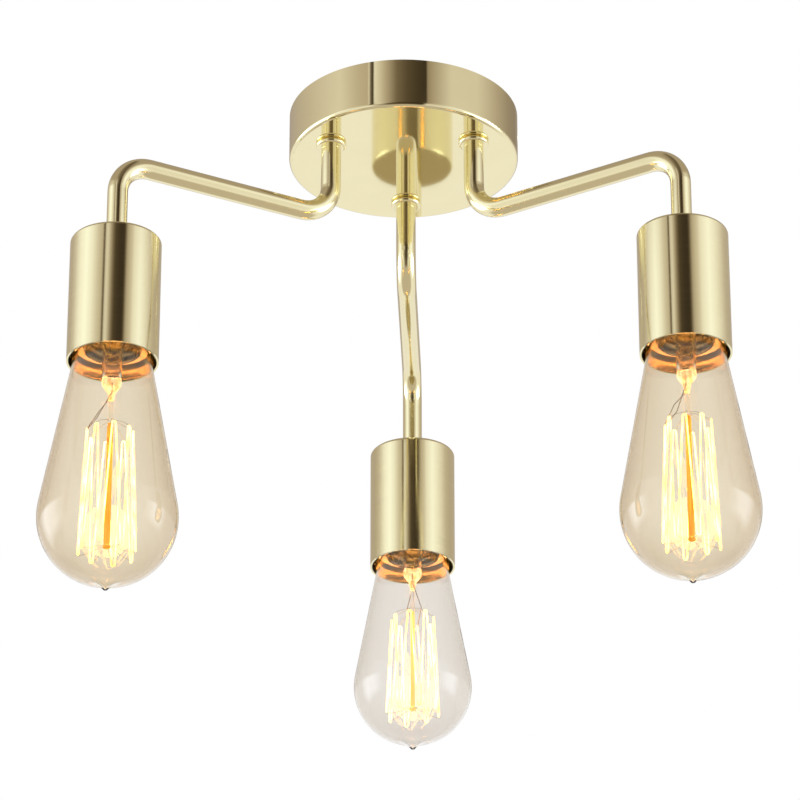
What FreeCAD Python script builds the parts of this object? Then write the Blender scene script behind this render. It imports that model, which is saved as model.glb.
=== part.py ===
import FreeCAD, Part
import math
import os
import Sketcher

# Semi flush ceiling light with three bare bulbs.
#
# A shallow round canopy hides a strap bracket that is screwed to the ceiling.
# Three bent tube arms, 120 degrees apart, pass through the canopy floor and are
# held by nuts. Each arm ends in a metal cup with a screw lampholder inside, and
# the bulb hangs tip down from it.
#
# The origin is the centre of the ceiling plane and +Z points up into the
# ceiling, so everything hangs at Z <= 0. "Drop" means a depth below the ceiling.

V = FreeCAD.Vector
Z_AXIS = V(0, 0, 1)

# Driving dimensions in millimetres, angles in degrees.
SIZES = (
    # canopy
    ("canopy_d", 110.0),
    ("canopy_depth", 25.0),
    ("canopy_wall", 1.0),
    ("canopy_edge_r", 1.8),
    ("dimple_wall", 0.9),
    ("cut_margin", 1.0),
    # strap bracket against the ceiling
    ("strap_w", 20.0),
    ("strap_t", 2.0),
    ("strap_bend_r", 1.5),
    ("ear_drop", 18.0),
    ("slot_spacing", 64.0),
    ("slot_len", 16.0),
    ("slot_w", 4.6),
    # countersunk screws through the canopy wall into the bracket's ears
    ("side_screw_drop", 12.5),
    ("side_screw_d", 4.0),
    ("side_screw_len", 8.0),
    ("side_head_d", 7.2),
    ("side_head_t", 1.9),
    ("side_head_sink", 0.1),
    # terminal block under the strap
    ("block_w", 17.0),
    ("block_t", 9.0),
    ("block_margin", 1.0),
    ("tower_t", 4.0),
    ("tower_root", 0.5),
    ("tower_d", 7.0),
    ("pole_pitch", 10.0),
    ("insert_d", 5.8),
    ("insert_bore", 4.4),
    ("insert_len", 13.0),
    ("insert_floor", 0.6),
    ("clamp_screw_d", 3.0),
    ("clamp_screw_y", 4.4),
    ("clamp_screw_sink", 1.0),
    ("block_screw_d", 2.6),
    ("block_screw_head_d", 4.2),
    ("block_screw_head_t", 1.6),
    ("screw_end_gap", 0.2),
    ("earth_screw_d", 4.0),
    ("earth_head_d", 7.0),
    ("earth_head_t", 2.4),
    ("earth_gap", 0.7),
    # arms
    ("arm_circle_r", 39.3),
    ("lamp_circle_r", 150.0),
    ("arm_d", 9.5),
    ("arm_bore", 6.2),
    ("arm_bend_r", 16.0),
    ("arm_drop", 40.0),
    ("spigot_d", 8.0),
    ("spigot_gap", 0.15),
    ("collar_d", 14.5),
    ("collar_t", 2.4),
    ("washer_d", 15.5),
    ("washer_t", 1.0),
    ("arm_nut_af", 13.0),
    ("arm_nut_t", 4.0),
    ("thread_proud", 1.5),
    # cups
    ("cup_drop", 42.5),
    ("cup_d", 42.0),
    ("cup_len", 62.0),
    ("cup_wall", 0.9),
    ("cup_edge_r", 1.6),
    ("cup_nut_t", 3.0),
    # lampholders
    ("holder_d", 36.0),
    ("holder_wall", 2.2),
    ("holder_dome", 6.0),
    ("holder_cap_len", 17.7),
    ("holder_boss_r", 9.0),
    ("holder_thread", 8.0),
    ("holder_thread_spare", 1.0),
    ("holder_floor", 3.0),
    ("holder_skirt", 30.0),
    ("skirt_edge_r", 0.8),
    ("sleeve_bore", 26.8),
    ("sleeve_wall", 0.4),
    ("sleeve_len", 28.0),
    ("sleeve_flange_r", 9.5),
    ("tongue_w", 5.0),
    ("tongue_t", 0.5),
    ("tongue_rise", 4.6),
    ("tongue_reach", 5.0),
    ("tongue_tip_y", 2.5),
    ("tongue_fold_r", 1.4),
    ("tongue_gap", 0.2),
    ("post_d", 3.6),
    ("post_proud", 8.0),
    ("post_hole_inset", 2.2),
    ("lead_gap", 0.05),
    ("live_post_y", 5.5),
    ("neutral_post_y", 11.0),
    # leads
    ("lead_d", 1.8),
    ("lead_pair", 1.15),
    ("lead_stack", 0.2),
    ("lead_bend_r", 5.0),
    ("lead_end_r", 2.0),
    ("lead_start_y", 3.0),
    # bulbs
    ("bulb_cap_d", 26.2),
    ("bulb_cap_len", 27.0),
    ("bulb_cap_wall", 0.3),
    ("bulb_cap_cone", 2.84),
    ("bulb_cap_lip", 0.45),
    ("eyelet_d", 9.8),
    ("eyelet_crown_d", 6.8),
    ("eyelet_t", 1.2),
    ("eyelet_gap", 0.05),
    ("insulator_d", 19.0),
    ("insulator_drop", 4.2),
    ("insulator_t", 2.4),
    ("glass_wall", 0.7),
    ("neck_d", 25.0),
    ("neck_depth", 11.0),
    ("neck_proud", 0.4),
    ("shoulder_drop", 1.6),
    ("shoulder_r", 2.6),
    ("flank_angle", 10.5),
    ("pip_d", 2.4),
    ("pip_len", 4.0),
    ("pip_root_r", 10.0),
    ("pip_flare_r", 21.3),
    ("amber_bulb_d", 63.6),
    ("amber_bulb_len", 146.2),
    ("clear_bulb_d", 57.7),
    ("clear_bulb_len", 130.2),
    # glass mount and filament cage inside a bulb
    ("stem_d", 9.0),
    ("flare_lip", 1.0),
    ("flare_len", 7.0),
    ("flare_taper", 12.0),
    ("pinch_clear", 15.5),
    ("pinch_len", 9.0),
    ("pinch_t", 3.4),
    ("pinch_taper", 2.0),
    ("press_t", 2.7),
    ("rod_d", 2.2),
    ("button_d", 3.4),
    ("cage_top_r", 10.5),
    ("cage_base_r", 13.0),
    ("amber_cage_len", 62.0),
    ("clear_cage_len", 53.0),
    ("cage_clear", 17.2),
    ("spoke_pitch", 4.0),
    ("filament_d", 0.6),
    ("hook_width", 1.6),
    ("spoke_d", 0.36),
    ("spoke_root", 1.0),
    ("lead_in_inset", 1.2),
)

LAMPS = {"left": 210.0, "right": 330.0, "rear": 90.0}
LAMP_COUNT = len(LAMPS)
CAGE_LOOPS = 8
WIRE_SIDES = 6
LEAD_SIDES = 8
ARC_STEPS = 4
POLES = (-1, 0, 1)
TOLERANCE = 1e-4
# A direction that no wire starts along.
SKEW = V(0.3, 0.5, 1)


class Size:
    """A number together with the formula that ties it to the sheet."""

    def __init__(self, value, formula):
        self.value = value
        self.formula = formula

    def __add__(self, other):
        other = as_size(other)
        return Size(self.value + other.value, f"({self.formula} + {other.formula})")

    def __sub__(self, other):
        other = as_size(other)
        return Size(self.value - other.value, f"({self.formula} - {other.formula})")

    def __mul__(self, other):
        other = as_size(other)
        return Size(self.value * other.value, f"({self.formula} * {other.formula})")

    def __truediv__(self, other):
        other = as_size(other)
        return Size(self.value / other.value, f"({self.formula} / {other.formula})")

    def __neg__(self):
        return Size(-self.value, f"(-1 * {self.formula})")

    def __radd__(self, other):
        return as_size(other) + self

    def __rsub__(self, other):
        return as_size(other) - self

    def __rmul__(self, other):
        return as_size(other) * self


def as_size(number):
    """A plain number as a size."""
    return number if isinstance(number, Size) else Size(float(number), str(number))


def cosine(angle):
    angle = as_size(angle)
    return Size(math.cos(math.radians(angle.value)), f"cos({angle.formula})")


def sine(angle):
    angle = as_size(angle)
    return Size(math.sin(math.radians(angle.value)), f"sin({angle.formula})")


def other_leg(long_side, leg):
    """The second short side of a right-angled triangle."""
    value = math.sqrt(long_side.value**2 - leg.value**2)
    return Size(value, f"sqrt({long_side.formula} ^ 2 - {leg.formula} ^ 2)")


class Sheet:
    """The driving dimensions, each read as a Size by its own name."""

    def __init__(self, document):
        cells = document.addObject("Spreadsheet::Sheet", "sizes")
        for row, (alias, value) in enumerate(SIZES, start=1):
            cells.set(f"A{row}", alias)
            cells.set(f"B{row}", str(value))
            cells.setAlias(f"B{row}", alias)
            setattr(self, alias, Size(value, f"sizes.{alias}"))


doc = FreeCAD.newDocument("semi_flush_light")
s = Sheet(doc)
doc.recompute()

# Depths below the ceiling that several pieces share.
FLOOR_DROP = s.canopy_depth - s.canopy_wall
SHOULDER_DROP = s.canopy_depth + s.collar_t
ARM_TOP = FLOOR_DROP - s.washer_t - s.arm_nut_t - s.thread_proud
RUN_DROP = s.canopy_depth + s.arm_drop
CUP_TOP = RUN_DROP + s.cup_drop
HOLDER_TOP = CUP_TOP + s.cup_wall + s.cup_nut_t
ARM_END = HOLDER_TOP + s.holder_thread - s.holder_thread_spare
HOLDER_SEAM = HOLDER_TOP + s.holder_cap_len
SOCKET_TOP = HOLDER_SEAM + s.holder_floor
BULB_SEAT = SOCKET_TOP + s.tongue_rise + s.tongue_gap
POST_HOLE = HOLDER_SEAM - s.post_proud + s.post_hole_inset
BLOCK_BASE = s.strap_t + s.block_t
BORE_DROP = BLOCK_BASE - s.insert_d / 2 - s.insert_floor
CLAMP_TIP = BORE_DROP + s.lead_d + s.lead_stack
CLAMP_LEN = BLOCK_BASE + s.tower_t - s.clamp_screw_sink - CLAMP_TIP

# Radii that several pieces share.
CANOPY_BORE = s.canopy_d / 2 - s.canopy_wall
SPIGOT_BORE = s.spigot_d / 2 + s.spigot_gap
EAR_FACE = s.canopy_d / 2 - s.side_head_t - s.dimple_wall
ARM_NUT_REACH = s.arm_nut_af / math.sqrt(3)

# The terminal block's length and the earth screw's place beside it.
BLOCK_LEN = s.pole_pitch * len(POLES) + s.block_margin
EARTH_X = BLOCK_LEN / 2 + s.earth_head_d / 2 + s.earth_gap

sub_parts = []


def keep(piece, name):
    """Names a finished piece and lists it for export."""
    piece.Label = name
    sub_parts.append(piece)
    return piece


def bind(piece, path, size):
    """Ties a property to the sheet."""
    piece.setExpression(path, as_size(size).formula)


def place(piece, reach=0, azimuth=0, drop=0):
    """Stands a piece at a distance from the light's centre line, turned to that side."""
    piece.Placement = FreeCAD.Placement(V(), FreeCAD.Rotation(Z_AXIS, azimuth))
    bind(piece, "Placement.Base.x", as_size(reach) * cosine(azimuth))
    bind(piece, "Placement.Base.y", as_size(reach) * sine(azimuth))
    bind(piece, "Placement.Base.z", -as_size(drop))


def new_body(name):
    return doc.addObject("PartDesign::Body", f"{name}_body")


def origin_plane(body, role):
    return next(f for f in body.Origin.OriginFeatures if f.Role == role)


def new_sketch(body, role, name, lift=0, rise=0):
    """A sketch on one of the body's own planes, lifted along its normal or shifted in it."""
    sketch = body.newObject("Sketcher::SketchObject", name)
    sketch.AttachmentSupport = [(origin_plane(body, role), "")]
    sketch.MapMode = "FlatFace"
    bind(sketch, "AttachmentOffset.Base.z", lift)
    bind(sketch, "AttachmentOffset.Base.y", rise)
    return sketch


def minor_arc(start, end, radius):
    """The arc of under a half circle; it runs anticlockwise where radius is positive."""
    first, last = (start, end) if radius > 0 else (end, start)
    chord = last - first
    left = V(-chord.y, chord.x, 0).normalize()
    rise = math.sqrt(max(radius**2 - (chord.Length / 2) ** 2, 0))
    centre = first + chord * 0.5 + left * rise
    angles = [math.atan2(p.y - centre.y, p.x - centre.x) for p in (first, last)]
    circle = Part.Circle(centre, Z_AXIS, abs(radius))
    return Part.ArcOfCircle(circle, angles[0], angles[1])


def fix_point(sketch, index, end, corner):
    """Holds one end of a sketch line at a corner given by two sizes."""
    for kind, size in (("DistanceX", corner[0]), ("DistanceY", corner[1])):
        size = as_size(size)
        rule = Sketcher.Constraint(kind, -1, 1, index, end, size.value)
        number = sketch.addConstraint(rule)
        bind(sketch, f"Constraints[{number}]", size)


def outline(sketch, corners, closed=True):
    """Lines and arcs from corner to corner.

    A corner is (x, y), or (x, y, radius) where an arc starts: it turns
    anticlockwise where the radius is positive.
    """
    sides = len(corners) if closed else len(corners) - 1
    ends = []
    base = sketch.GeometryCount
    for i in range(sides):
        here, there = corners[i], corners[(i + 1) % len(corners)]
        start = V(as_size(here[0]).value, as_size(here[1]).value, 0)
        stop = V(as_size(there[0]).value, as_size(there[1]).value, 0)
        clockwise = False
        if len(here) == 3:
            radius = as_size(here[2])
            clockwise = radius.value < 0
            sketch.addGeometry(minor_arc(start, stop, radius.value), False)
            rule = Sketcher.Constraint("Radius", base + i, abs(radius.value))
            number = sketch.addConstraint(rule)
            bind(sketch, f"Constraints[{number}]", -radius if clockwise else radius)
        else:
            sketch.addGeometry(Part.LineSegment(start, stop), False)
        ends.append((2, 1) if clockwise else (1, 2))
    for i in range(sides):
        fix_point(sketch, base + i, ends[i][0], corners[i])
        following = (i + 1) % sides
        if closed or i + 1 < sides:
            rule = ("Coincident", base + i, ends[i][1], base + following, ends[following][0])
            sketch.addConstraint(Sketcher.Constraint(*rule))
    if not closed:
        fix_point(sketch, base + sides - 1, ends[-1][1], corners[-1])


def circle(sketch, x, y, radius):
    """A circle with its centre and radius tied to the sheet."""
    x, y, radius = as_size(x), as_size(y), as_size(radius)
    index = sketch.GeometryCount
    sketch.addGeometry(Part.Circle(V(x.value, y.value, 0), Z_AXIS, radius.value), False)
    fix_point(sketch, index, 3, (x, y))
    number = sketch.addConstraint(Sketcher.Constraint("Radius", index, radius.value))
    bind(sketch, f"Constraints[{number}]", radius)


def box_corners(low_x, low_y, high_x, high_y):
    return [(low_x, low_y), (high_x, low_y), (high_x, high_y), (low_x, high_y)]


def slot_corners(middle_x, length, width):
    """A slot along X with round ends, each end two quarter arcs."""
    half = width / 2
    near, far = middle_x - length / 2, middle_x + length / 2
    return [
        (near + half, -half),
        (far - half, -half, half),
        (far, 0, half),
        (far - half, half),
        (near + half, half, half),
        (near, 0, half),
    ]


def turned(body, name, corners, cut=False, axis="V_Axis", role="XZ_Plane", rise=0):
    """A profile turned all the way round an axis of its sketch."""
    sketch = new_sketch(body, role, f"{name}_profile", rise=rise)
    outline(sketch, corners)
    kind = "PartDesign::Groove" if cut else "PartDesign::Revolution"
    feature = body.newObject(kind, name)
    feature.Profile = sketch
    feature.ReferenceAxis = (sketch, [axis])
    feature.Angle = 360
    doc.recompute()
    return feature


def pad(body, name, sketch, length, middle=False):
    feature = body.newObject("PartDesign::Pad", name)
    feature.Profile = sketch
    bind(feature, "Length", length)
    if middle:
        feature.SideType = "Symmetric"
    doc.recompute()
    return feature


def cut_through(body, name, sketch):
    """Cuts a sketch through the whole piece, both ways."""
    feature = body.newObject("PartDesign::Pocket", name)
    feature.Profile = sketch
    feature.SideType = "Symmetric"
    feature.Type = "ThroughAll"
    doc.recompute()
    return feature


def mirrored(body, name, feature, role):
    copy = body.newObject("PartDesign::Mirrored", name)
    copy.Originals = [feature]
    copy.MirrorPlane = (origin_plane(body, role), [""])
    body.Tip = copy
    doc.recompute()
    return copy


def ring_edges(feature, radius, drop):
    """The names of the round edges about the centre line, at a radius and a drop."""
    names = []
    for number, edge in enumerate(feature.Shape.Edges, start=1):
        if edge.Degenerated or not isinstance(edge.Curve, Part.Circle):
            continue
        curve = edge.Curve
        centred = math.hypot(curve.Center.x, curve.Center.y) < TOLERANCE
        same_height = abs(curve.Center.z + as_size(drop).value) < TOLERANCE
        if centred and same_height and abs(curve.Radius - as_size(radius).value) < TOLERANCE:
            names.append(f"Edge{number}")
    return names


def rounded(body, name, radius, rings):
    """Rounds the ring edges given as (radius, drop)."""
    base = body.Tip
    edges = [edge for ring in rings for edge in ring_edges(base, *ring)]
    feature = body.newObject("PartDesign::Fillet", name)
    feature.Base = (base, edges)
    bind(feature, "Radius", radius)
    doc.recompute()
    return feature


def cylinder(name, radius, height):
    solid = doc.addObject("Part::Cylinder", name)
    bind(solid, "Radius", radius)
    bind(solid, "Height", height)
    return solid


def cut(name, base, tool):
    solid = doc.addObject("Part::Cut", name)
    solid.Base = base
    solid.Tool = tool
    return solid


def group(name, pieces):
    """Separate identical pieces kept together as one sub-part."""
    together = doc.addObject("Part::Compound", f"{name}_group")
    together.Links = pieces
    return keep(together, name)


def screw_body(name, diameter, length, head_d, head_t, flat_head=False):
    """A screw with its head's outer face on its own XY plane and its shank along +Z."""
    body = new_body(name)
    head_shoulder = (diameter / 2, head_t) if flat_head else (head_d / 2, head_t)
    corners = [(0, 0), (head_d / 2, 0), head_shoulder]
    if not flat_head:
        corners.append((diameter / 2, head_t))
    corners += [(diameter / 2, length), (0, length)]
    turned(body, f"{name}_turned", corners)
    return body


# ---------------------------------------------------------------- canopy


def make_canopy():
    """A pan with a flat floor, open towards the ceiling."""
    body = new_body("canopy")
    radius = s.canopy_d / 2
    profile = [
        (0, -s.canopy_depth),
        (radius, -s.canopy_depth),
        (radius, 0),
        (CANOPY_BORE, 0),
        (CANOPY_BORE, -FLOOR_DROP),
        (0, -FLOOR_DROP),
    ]
    turned(body, "canopy_pan", profile)
    rounded(body, "canopy_edge", s.canopy_edge_r, [(radius, s.canopy_depth)])
    inner_r = s.canopy_edge_r - s.canopy_wall
    rounded(body, "canopy_inner_edge", inner_r, [(CANOPY_BORE, FLOOR_DROP)])
    make_dimples(body, radius)
    make_arm_holes(body)
    keep(body, "canopy")


def make_dimples(body, radius):
    """Pressed seats in the wall that take the countersunk screw heads flush."""
    head, shank = s.side_head_d / 2, s.side_screw_d / 2 + s.spigot_gap
    frustum = [
        (EAR_FACE, 0),
        (EAR_FACE, shank + s.dimple_wall),
        (radius - s.canopy_wall / 2, head + s.dimple_wall),
        (radius - s.canopy_wall / 2, 0),
    ]
    seat = turned(body, "dimple", frustum, axis="H_Axis", rise=-s.side_screw_drop)
    mirrored(body, "dimple_pair", seat, "YZ_Plane")
    inside, outside = EAR_FACE - s.cut_margin, radius + s.cut_margin
    countersink = [
        (inside, 0),
        (inside, shank),
        (radius - s.side_head_t, shank),
        (radius, head + s.spigot_gap),
        (outside, head + s.spigot_gap),
        (outside, 0),
    ]
    sunk = turned(body, "sink", countersink, cut=True, axis="H_Axis", rise=-s.side_screw_drop)
    mirrored(body, "sink_pair", sunk, "YZ_Plane")


def make_arm_holes(body):
    """One hole for each arm's threaded spigot."""
    sketch = new_sketch(body, "XY_Plane", "arm_hole_sketch")
    circle(sketch, 0, s.arm_circle_r, SPIGOT_BORE)
    hole = cut_through(body, "arm_hole", sketch)
    pattern = body.newObject("PartDesign::PolarPattern", "arm_holes")
    pattern.Originals = [hole]
    pattern.Axis = (origin_plane(body, "Z_Axis"), [""])
    pattern.Angle = 360
    pattern.Occurrences = LAMP_COUNT
    body.Tip = pattern
    doc.recompute()


# ---------------------------------------------------------------- bracket


def make_bracket():
    """A flat strap against the ceiling with both ends bent down into tapped ears."""
    body = new_body("mounting_bracket")
    sketch = new_sketch(body, "XZ_Plane", "strap_side")
    inner, outer = s.strap_bend_r, s.strap_bend_r + s.strap_t
    inside = EAR_FACE - s.strap_t
    right = [
        (inside, -s.ear_drop),
        (EAR_FACE, -s.ear_drop),
        (EAR_FACE, -outer, outer),
        (EAR_FACE - outer, 0),
    ]
    left = [
        (-(EAR_FACE - outer), 0, outer),
        (-EAR_FACE, -outer),
        (-EAR_FACE, -s.ear_drop),
        (-inside, -s.ear_drop),
        (-inside, -outer, -inner),
        (-(inside - inner), -s.strap_t),
    ]
    closing = [(inside - inner, -s.strap_t, -inner), (inside, -outer)]
    outline(sketch, right + left + closing)
    pad(body, "strap", sketch, s.strap_w, middle=True)
    slots = new_sketch(body, "XY_Plane", "slot_sketch")
    for side in (-1, 1):
        outline(slots, slot_corners(s.slot_spacing * side / 2, s.slot_len, s.slot_w))
    circle(slots, EARTH_X, 0, s.earth_screw_d / 2)
    for side in (-1, 1):
        circle(slots, s.pole_pitch * side / 2, 0, s.block_screw_d / 2)
    cut_through(body, "strap_holes", slots)
    ears = new_sketch(body, "YZ_Plane", "ear_sketch")
    circle(ears, 0, -s.side_screw_drop, s.side_screw_d / 2)
    cut_through(body, "ear_holes", ears)
    keep(body, "mounting_bracket")


def make_canopy_screws():
    """Two countersunk screws, one from each side, flush with the canopy wall."""
    screws = []
    for side, turn in (("left", 90), ("right", -90)):
        body = screw_body(
            f"canopy_screw_{side}",
            s.side_screw_d,
            s.side_screw_len,
            s.side_head_d,
            s.side_head_t,
            flat_head=True,
        )
        body.Placement.Rotation = FreeCAD.Rotation(V(0, 1, 0), turn)
        reach = s.canopy_d / 2 - s.side_head_sink
        bind(body, "Placement.Base.x", -reach if side == "left" else reach)
        bind(body, "Placement.Base.z", -s.side_screw_drop)
        screws.append(body)
    group("canopy_screws", screws)


# ---------------------------------------------------------------- terminal block


def make_terminal_block():
    """A three-pole block: a bar with six screw towers and a cross bore for each pole."""
    body = new_body("terminal_block")
    bar = new_sketch(body, "XY_Plane", "bar_sketch", lift=-BLOCK_BASE)
    outline(bar, box_corners(-BLOCK_LEN / 2, -s.block_w / 2, BLOCK_LEN / 2, s.block_w / 2))
    pad(body, "bar", bar, s.block_t)
    towers = new_sketch(body, "XY_Plane", "tower_sketch", lift=-BLOCK_BASE - s.tower_t)
    wells = new_sketch(body, "XY_Plane", "well_sketch", lift=-BLOCK_BASE - s.tower_t)
    for pole in POLES:
        for side in (-1, 1):
            spot = (s.pole_pitch * pole, s.clamp_screw_y * side)
            circle(towers, *spot, s.tower_d / 2)
            circle(wells, *spot, s.clamp_screw_d / 2)
    pad(body, "towers", towers, s.tower_t + s.tower_root)
    wells_cut = body.newObject("PartDesign::Pocket", "wells")
    wells_cut.Profile = wells
    wells_cut.Reversed = True
    bind(wells_cut, "Length", s.tower_t + s.block_t - (BORE_DROP - s.strap_t))
    bores = new_sketch(body, "XZ_Plane", "bore_sketch")
    for pole in POLES:
        circle(bores, s.pole_pitch * pole, -BORE_DROP, s.insert_d / 2)
    cut_through(body, "pole_bores", bores)
    fixings = new_sketch(body, "XY_Plane", "fixing_sketch")
    for side in (-1, 1):
        circle(fixings, s.pole_pitch * side / 2, 0, s.block_screw_d / 2)
    cut_through(body, "fixing_holes", fixings)
    keep(body, "terminal_block")


def make_terminal_inserts():
    """A brass tube in each pole, with a tapped hole under each clamp screw."""
    tubes = []
    for pole in POLES:
        body = new_body(f"insert_{pole + 1}")
        ring = new_sketch(body, "XZ_Plane", "insert_ring")
        circle(ring, 0, 0, s.insert_d / 2)
        circle(ring, 0, 0, s.insert_bore / 2)
        pad(body, "insert_tube", ring, s.insert_len, middle=True)
        taps = new_sketch(body, "XY_Plane", "tap_sketch")
        for side in (-1, 1):
            circle(taps, 0, s.clamp_screw_y * side, s.clamp_screw_d / 2)
        holes = body.newObject("PartDesign::Pocket", "taps")
        holes.Profile = taps
        bind(holes, "Length", s.insert_d)
        bind(body, "Placement.Base.x", s.pole_pitch * pole)
        bind(body, "Placement.Base.z", -BORE_DROP)
        tubes.append(body)
    group("terminal_inserts", tubes)


def make_small_screws():
    """Clamp screws in the towers, the block's two fixing screws and the earth screw."""
    clamps = []
    for pole in POLES:
        for side in (-1, 1):
            solid = cylinder("clamp_screw", s.clamp_screw_d / 2, CLAMP_LEN)
            bind(solid, "Placement.Base.x", s.pole_pitch * pole)
            bind(solid, "Placement.Base.y", s.clamp_screw_y * side)
            bind(solid, "Placement.Base.z", -CLAMP_TIP - CLAMP_LEN)
            clamps.append(solid)
    group("terminal_screws", clamps)
    fixings = []
    for side in (-1, 1):
        length = s.block_screw_head_t + BLOCK_BASE - s.screw_end_gap
        sizes = (s.block_screw_d, length, s.block_screw_head_d, s.block_screw_head_t)
        body = screw_body("block_screw", *sizes)
        bind(body, "Placement.Base.x", s.pole_pitch * side / 2)
        bind(body, "Placement.Base.z", -BLOCK_BASE - s.block_screw_head_t)
        fixings.append(body)
    group("block_screws", fixings)
    length = s.earth_head_t + s.strap_t - s.screw_end_gap
    earth = screw_body("earth_screw", s.earth_screw_d, length, s.earth_head_d, s.earth_head_t)
    bind(earth, "Placement.Base.x", EARTH_X)
    bind(earth, "Placement.Base.z", -s.strap_t - s.earth_head_t)
    keep(earth, "earth_screw")


# ---------------------------------------------------------------- arm fixings


def make_nuts_and_washers():
    """A washer and nut on each arm inside the canopy, and a thin nut inside each cup."""
    washers, arm_nuts, cup_nuts = [], [], []
    for azimuth in LAMPS.values():
        washer = cut(
            "washer",
            cylinder("washer_disc", s.washer_d / 2, s.washer_t),
            cylinder("washer_hole", SPIGOT_BORE, s.washer_t),
        )
        place(washer, s.arm_circle_r, azimuth, FLOOR_DROP)
        washers.append(washer)
        nut = hex_nut("arm_nut", s.arm_nut_t)
        place(nut, s.arm_circle_r, azimuth, FLOOR_DROP - s.washer_t)
        arm_nuts.append(nut)
        nut = hex_nut("cup_nut", s.cup_nut_t)
        place(nut, s.lamp_circle_r, azimuth, HOLDER_TOP)
        cup_nuts.append(nut)
    group("arm_washers", washers)
    group("arm_nuts", arm_nuts)
    group("cup_nuts", cup_nuts)


def hex_nut(name, height):
    prism = doc.addObject("Part::Prism", f"{name}_hex")
    prism.Polygon = 6
    bind(prism, "Circumradius", ARM_NUT_REACH)
    bind(prism, "Height", height)
    return cut(name, prism, cylinder(f"{name}_bore", s.spigot_d / 2, height))


# ---------------------------------------------------------------- arms


def make_arm(side, azimuth):
    """A bent tube: down from the canopy, out level, down into the cup.

    Both ends are turned down to threaded spigots, and the shoulders that this
    leaves carry the collar above and the cup below.
    """
    body = new_body(f"{side}_arm")
    near, far, bend = s.arm_circle_r, s.lamp_circle_r, s.arm_bend_r
    path = new_sketch(body, "XZ_Plane", "arm_path")
    route = [
        (near, -ARM_TOP),
        (near, -(RUN_DROP - bend), bend),
        (near + bend, -RUN_DROP),
        (far - bend, -RUN_DROP, -bend),
        (far, -(RUN_DROP + bend)),
        (far, -ARM_END),
    ]
    outline(path, route, closed=False)
    section = new_sketch(body, "XY_Plane", "arm_section", lift=-ARM_TOP)
    circle(section, near, 0, s.arm_d / 2)
    circle(section, near, 0, s.arm_bore / 2)
    doc.recompute()
    tube = body.newObject("PartDesign::AdditivePipe", "arm_tube")
    tube.Profile = section
    tube.Spine = (path, [f"Edge{i + 1}" for i in range(len(route) - 1)])
    doc.recompute()
    for name, x, high, low in (
        ("top_spigot", near, ARM_TOP - s.cut_margin, SHOULDER_DROP),
        ("end_spigot", far, CUP_TOP, ARM_END + s.cut_margin),
    ):
        ring = new_sketch(body, "XY_Plane", f"{name}_ring", lift=-low)
        circle(ring, x, 0, s.arm_d / 2 + s.cut_margin)
        circle(ring, x, 0, s.spigot_d / 2)
        turned_down = body.newObject("PartDesign::Pocket", name)
        turned_down.Profile = ring
        turned_down.Reversed = True
        bind(turned_down, "Length", low - high)
        doc.recompute()
    place(body, azimuth=azimuth)
    keep(body, f"{side}_arm")


def make_collar(side, azimuth):
    """The beaded ring between the canopy floor and the arm's upper shoulder."""
    body = new_body(f"{side}_collar")
    radius, bead = s.collar_d / 2, s.collar_t / 2
    profile = [
        (SPIGOT_BORE, -s.collar_t),
        (radius - bead, -s.collar_t, bead),
        (radius, -bead, bead),
        (radius - bead, 0),
        (SPIGOT_BORE, 0),
    ]
    turned(body, "bead", profile)
    place(body, s.arm_circle_r, azimuth, s.canopy_depth)
    keep(body, f"{side}_arm_collar")


# ---------------------------------------------------------------- cups and lampholders


def make_cup(side, azimuth):
    """A spun cup, closed at the top round the arm's spigot and open below."""
    body = new_body(f"{side}_cup")
    radius, bore = s.cup_d / 2, s.cup_d / 2 - s.cup_wall
    profile = [
        (SPIGOT_BORE, -s.cup_wall),
        (bore, -s.cup_wall),
        (bore, -s.cup_len),
        (radius, -s.cup_len),
        (radius, 0),
        (SPIGOT_BORE, 0),
    ]
    turned(body, "cup_shell", profile)
    rounded(body, "cup_edge", s.cup_edge_r, [(radius, 0)])
    rounded(body, "cup_inner_edge", s.cup_edge_r - s.cup_wall, [(bore, s.cup_wall)])
    place(body, s.lamp_circle_r, azimuth, CUP_TOP)
    keep(body, f"{side}_cup")


def make_holder_cap(side, azimuth):
    """The lampholder's domed cap, screwed on the arm's spigot by its boss."""
    body = new_body(f"{side}_holder_cap")
    radius, inside = s.holder_d / 2, s.holder_d / 2 - s.holder_wall
    bore = s.spigot_d / 2 + s.eyelet_gap
    profile = [
        (bore, 0),
        (s.holder_boss_r, 0),
        (radius, -s.holder_dome),
        (radius, -s.holder_cap_len),
        (inside, -s.holder_cap_len),
        (inside, -s.holder_dome - s.holder_wall / 2),
        (s.holder_boss_r, -s.holder_wall),
        (s.holder_boss_r - s.holder_wall, -s.holder_thread),
        (bore, -s.holder_thread),
    ]
    turned(body, "holder_dome", profile)
    place(body, s.lamp_circle_r, azimuth, HOLDER_TOP)
    keep(body, f"{side}_lampholder_cap")


def make_holder_body(side, azimuth):
    """The lampholder's insulating skirt and floor, with holes for its two posts."""
    body = new_body(f"{side}_holder_body")
    radius, sleeve_r = s.holder_d / 2, s.sleeve_bore / 2 + s.sleeve_wall
    profile = [
        (0, 0),
        (radius, 0),
        (radius, -s.holder_floor - s.holder_skirt),
        (sleeve_r, -s.holder_floor - s.holder_skirt),
        (sleeve_r, -s.holder_floor),
        (0, -s.holder_floor),
    ]
    turned(body, "holder_skirt", profile)
    rounded(body, "skirt_edge", s.skirt_edge_r, [(radius, s.holder_floor + s.holder_skirt)])
    holes = new_sketch(body, "XY_Plane", "post_holes")
    circle(holes, 0, s.live_post_y, s.post_d / 2)
    circle(holes, 0, -s.neutral_post_y, s.post_d / 2)
    cut_through(body, "post_holes_cut", holes)
    place(body, s.lamp_circle_r, azimuth, HOLDER_SEAM)
    keep(body, f"{side}_lampholder_body")


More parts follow.
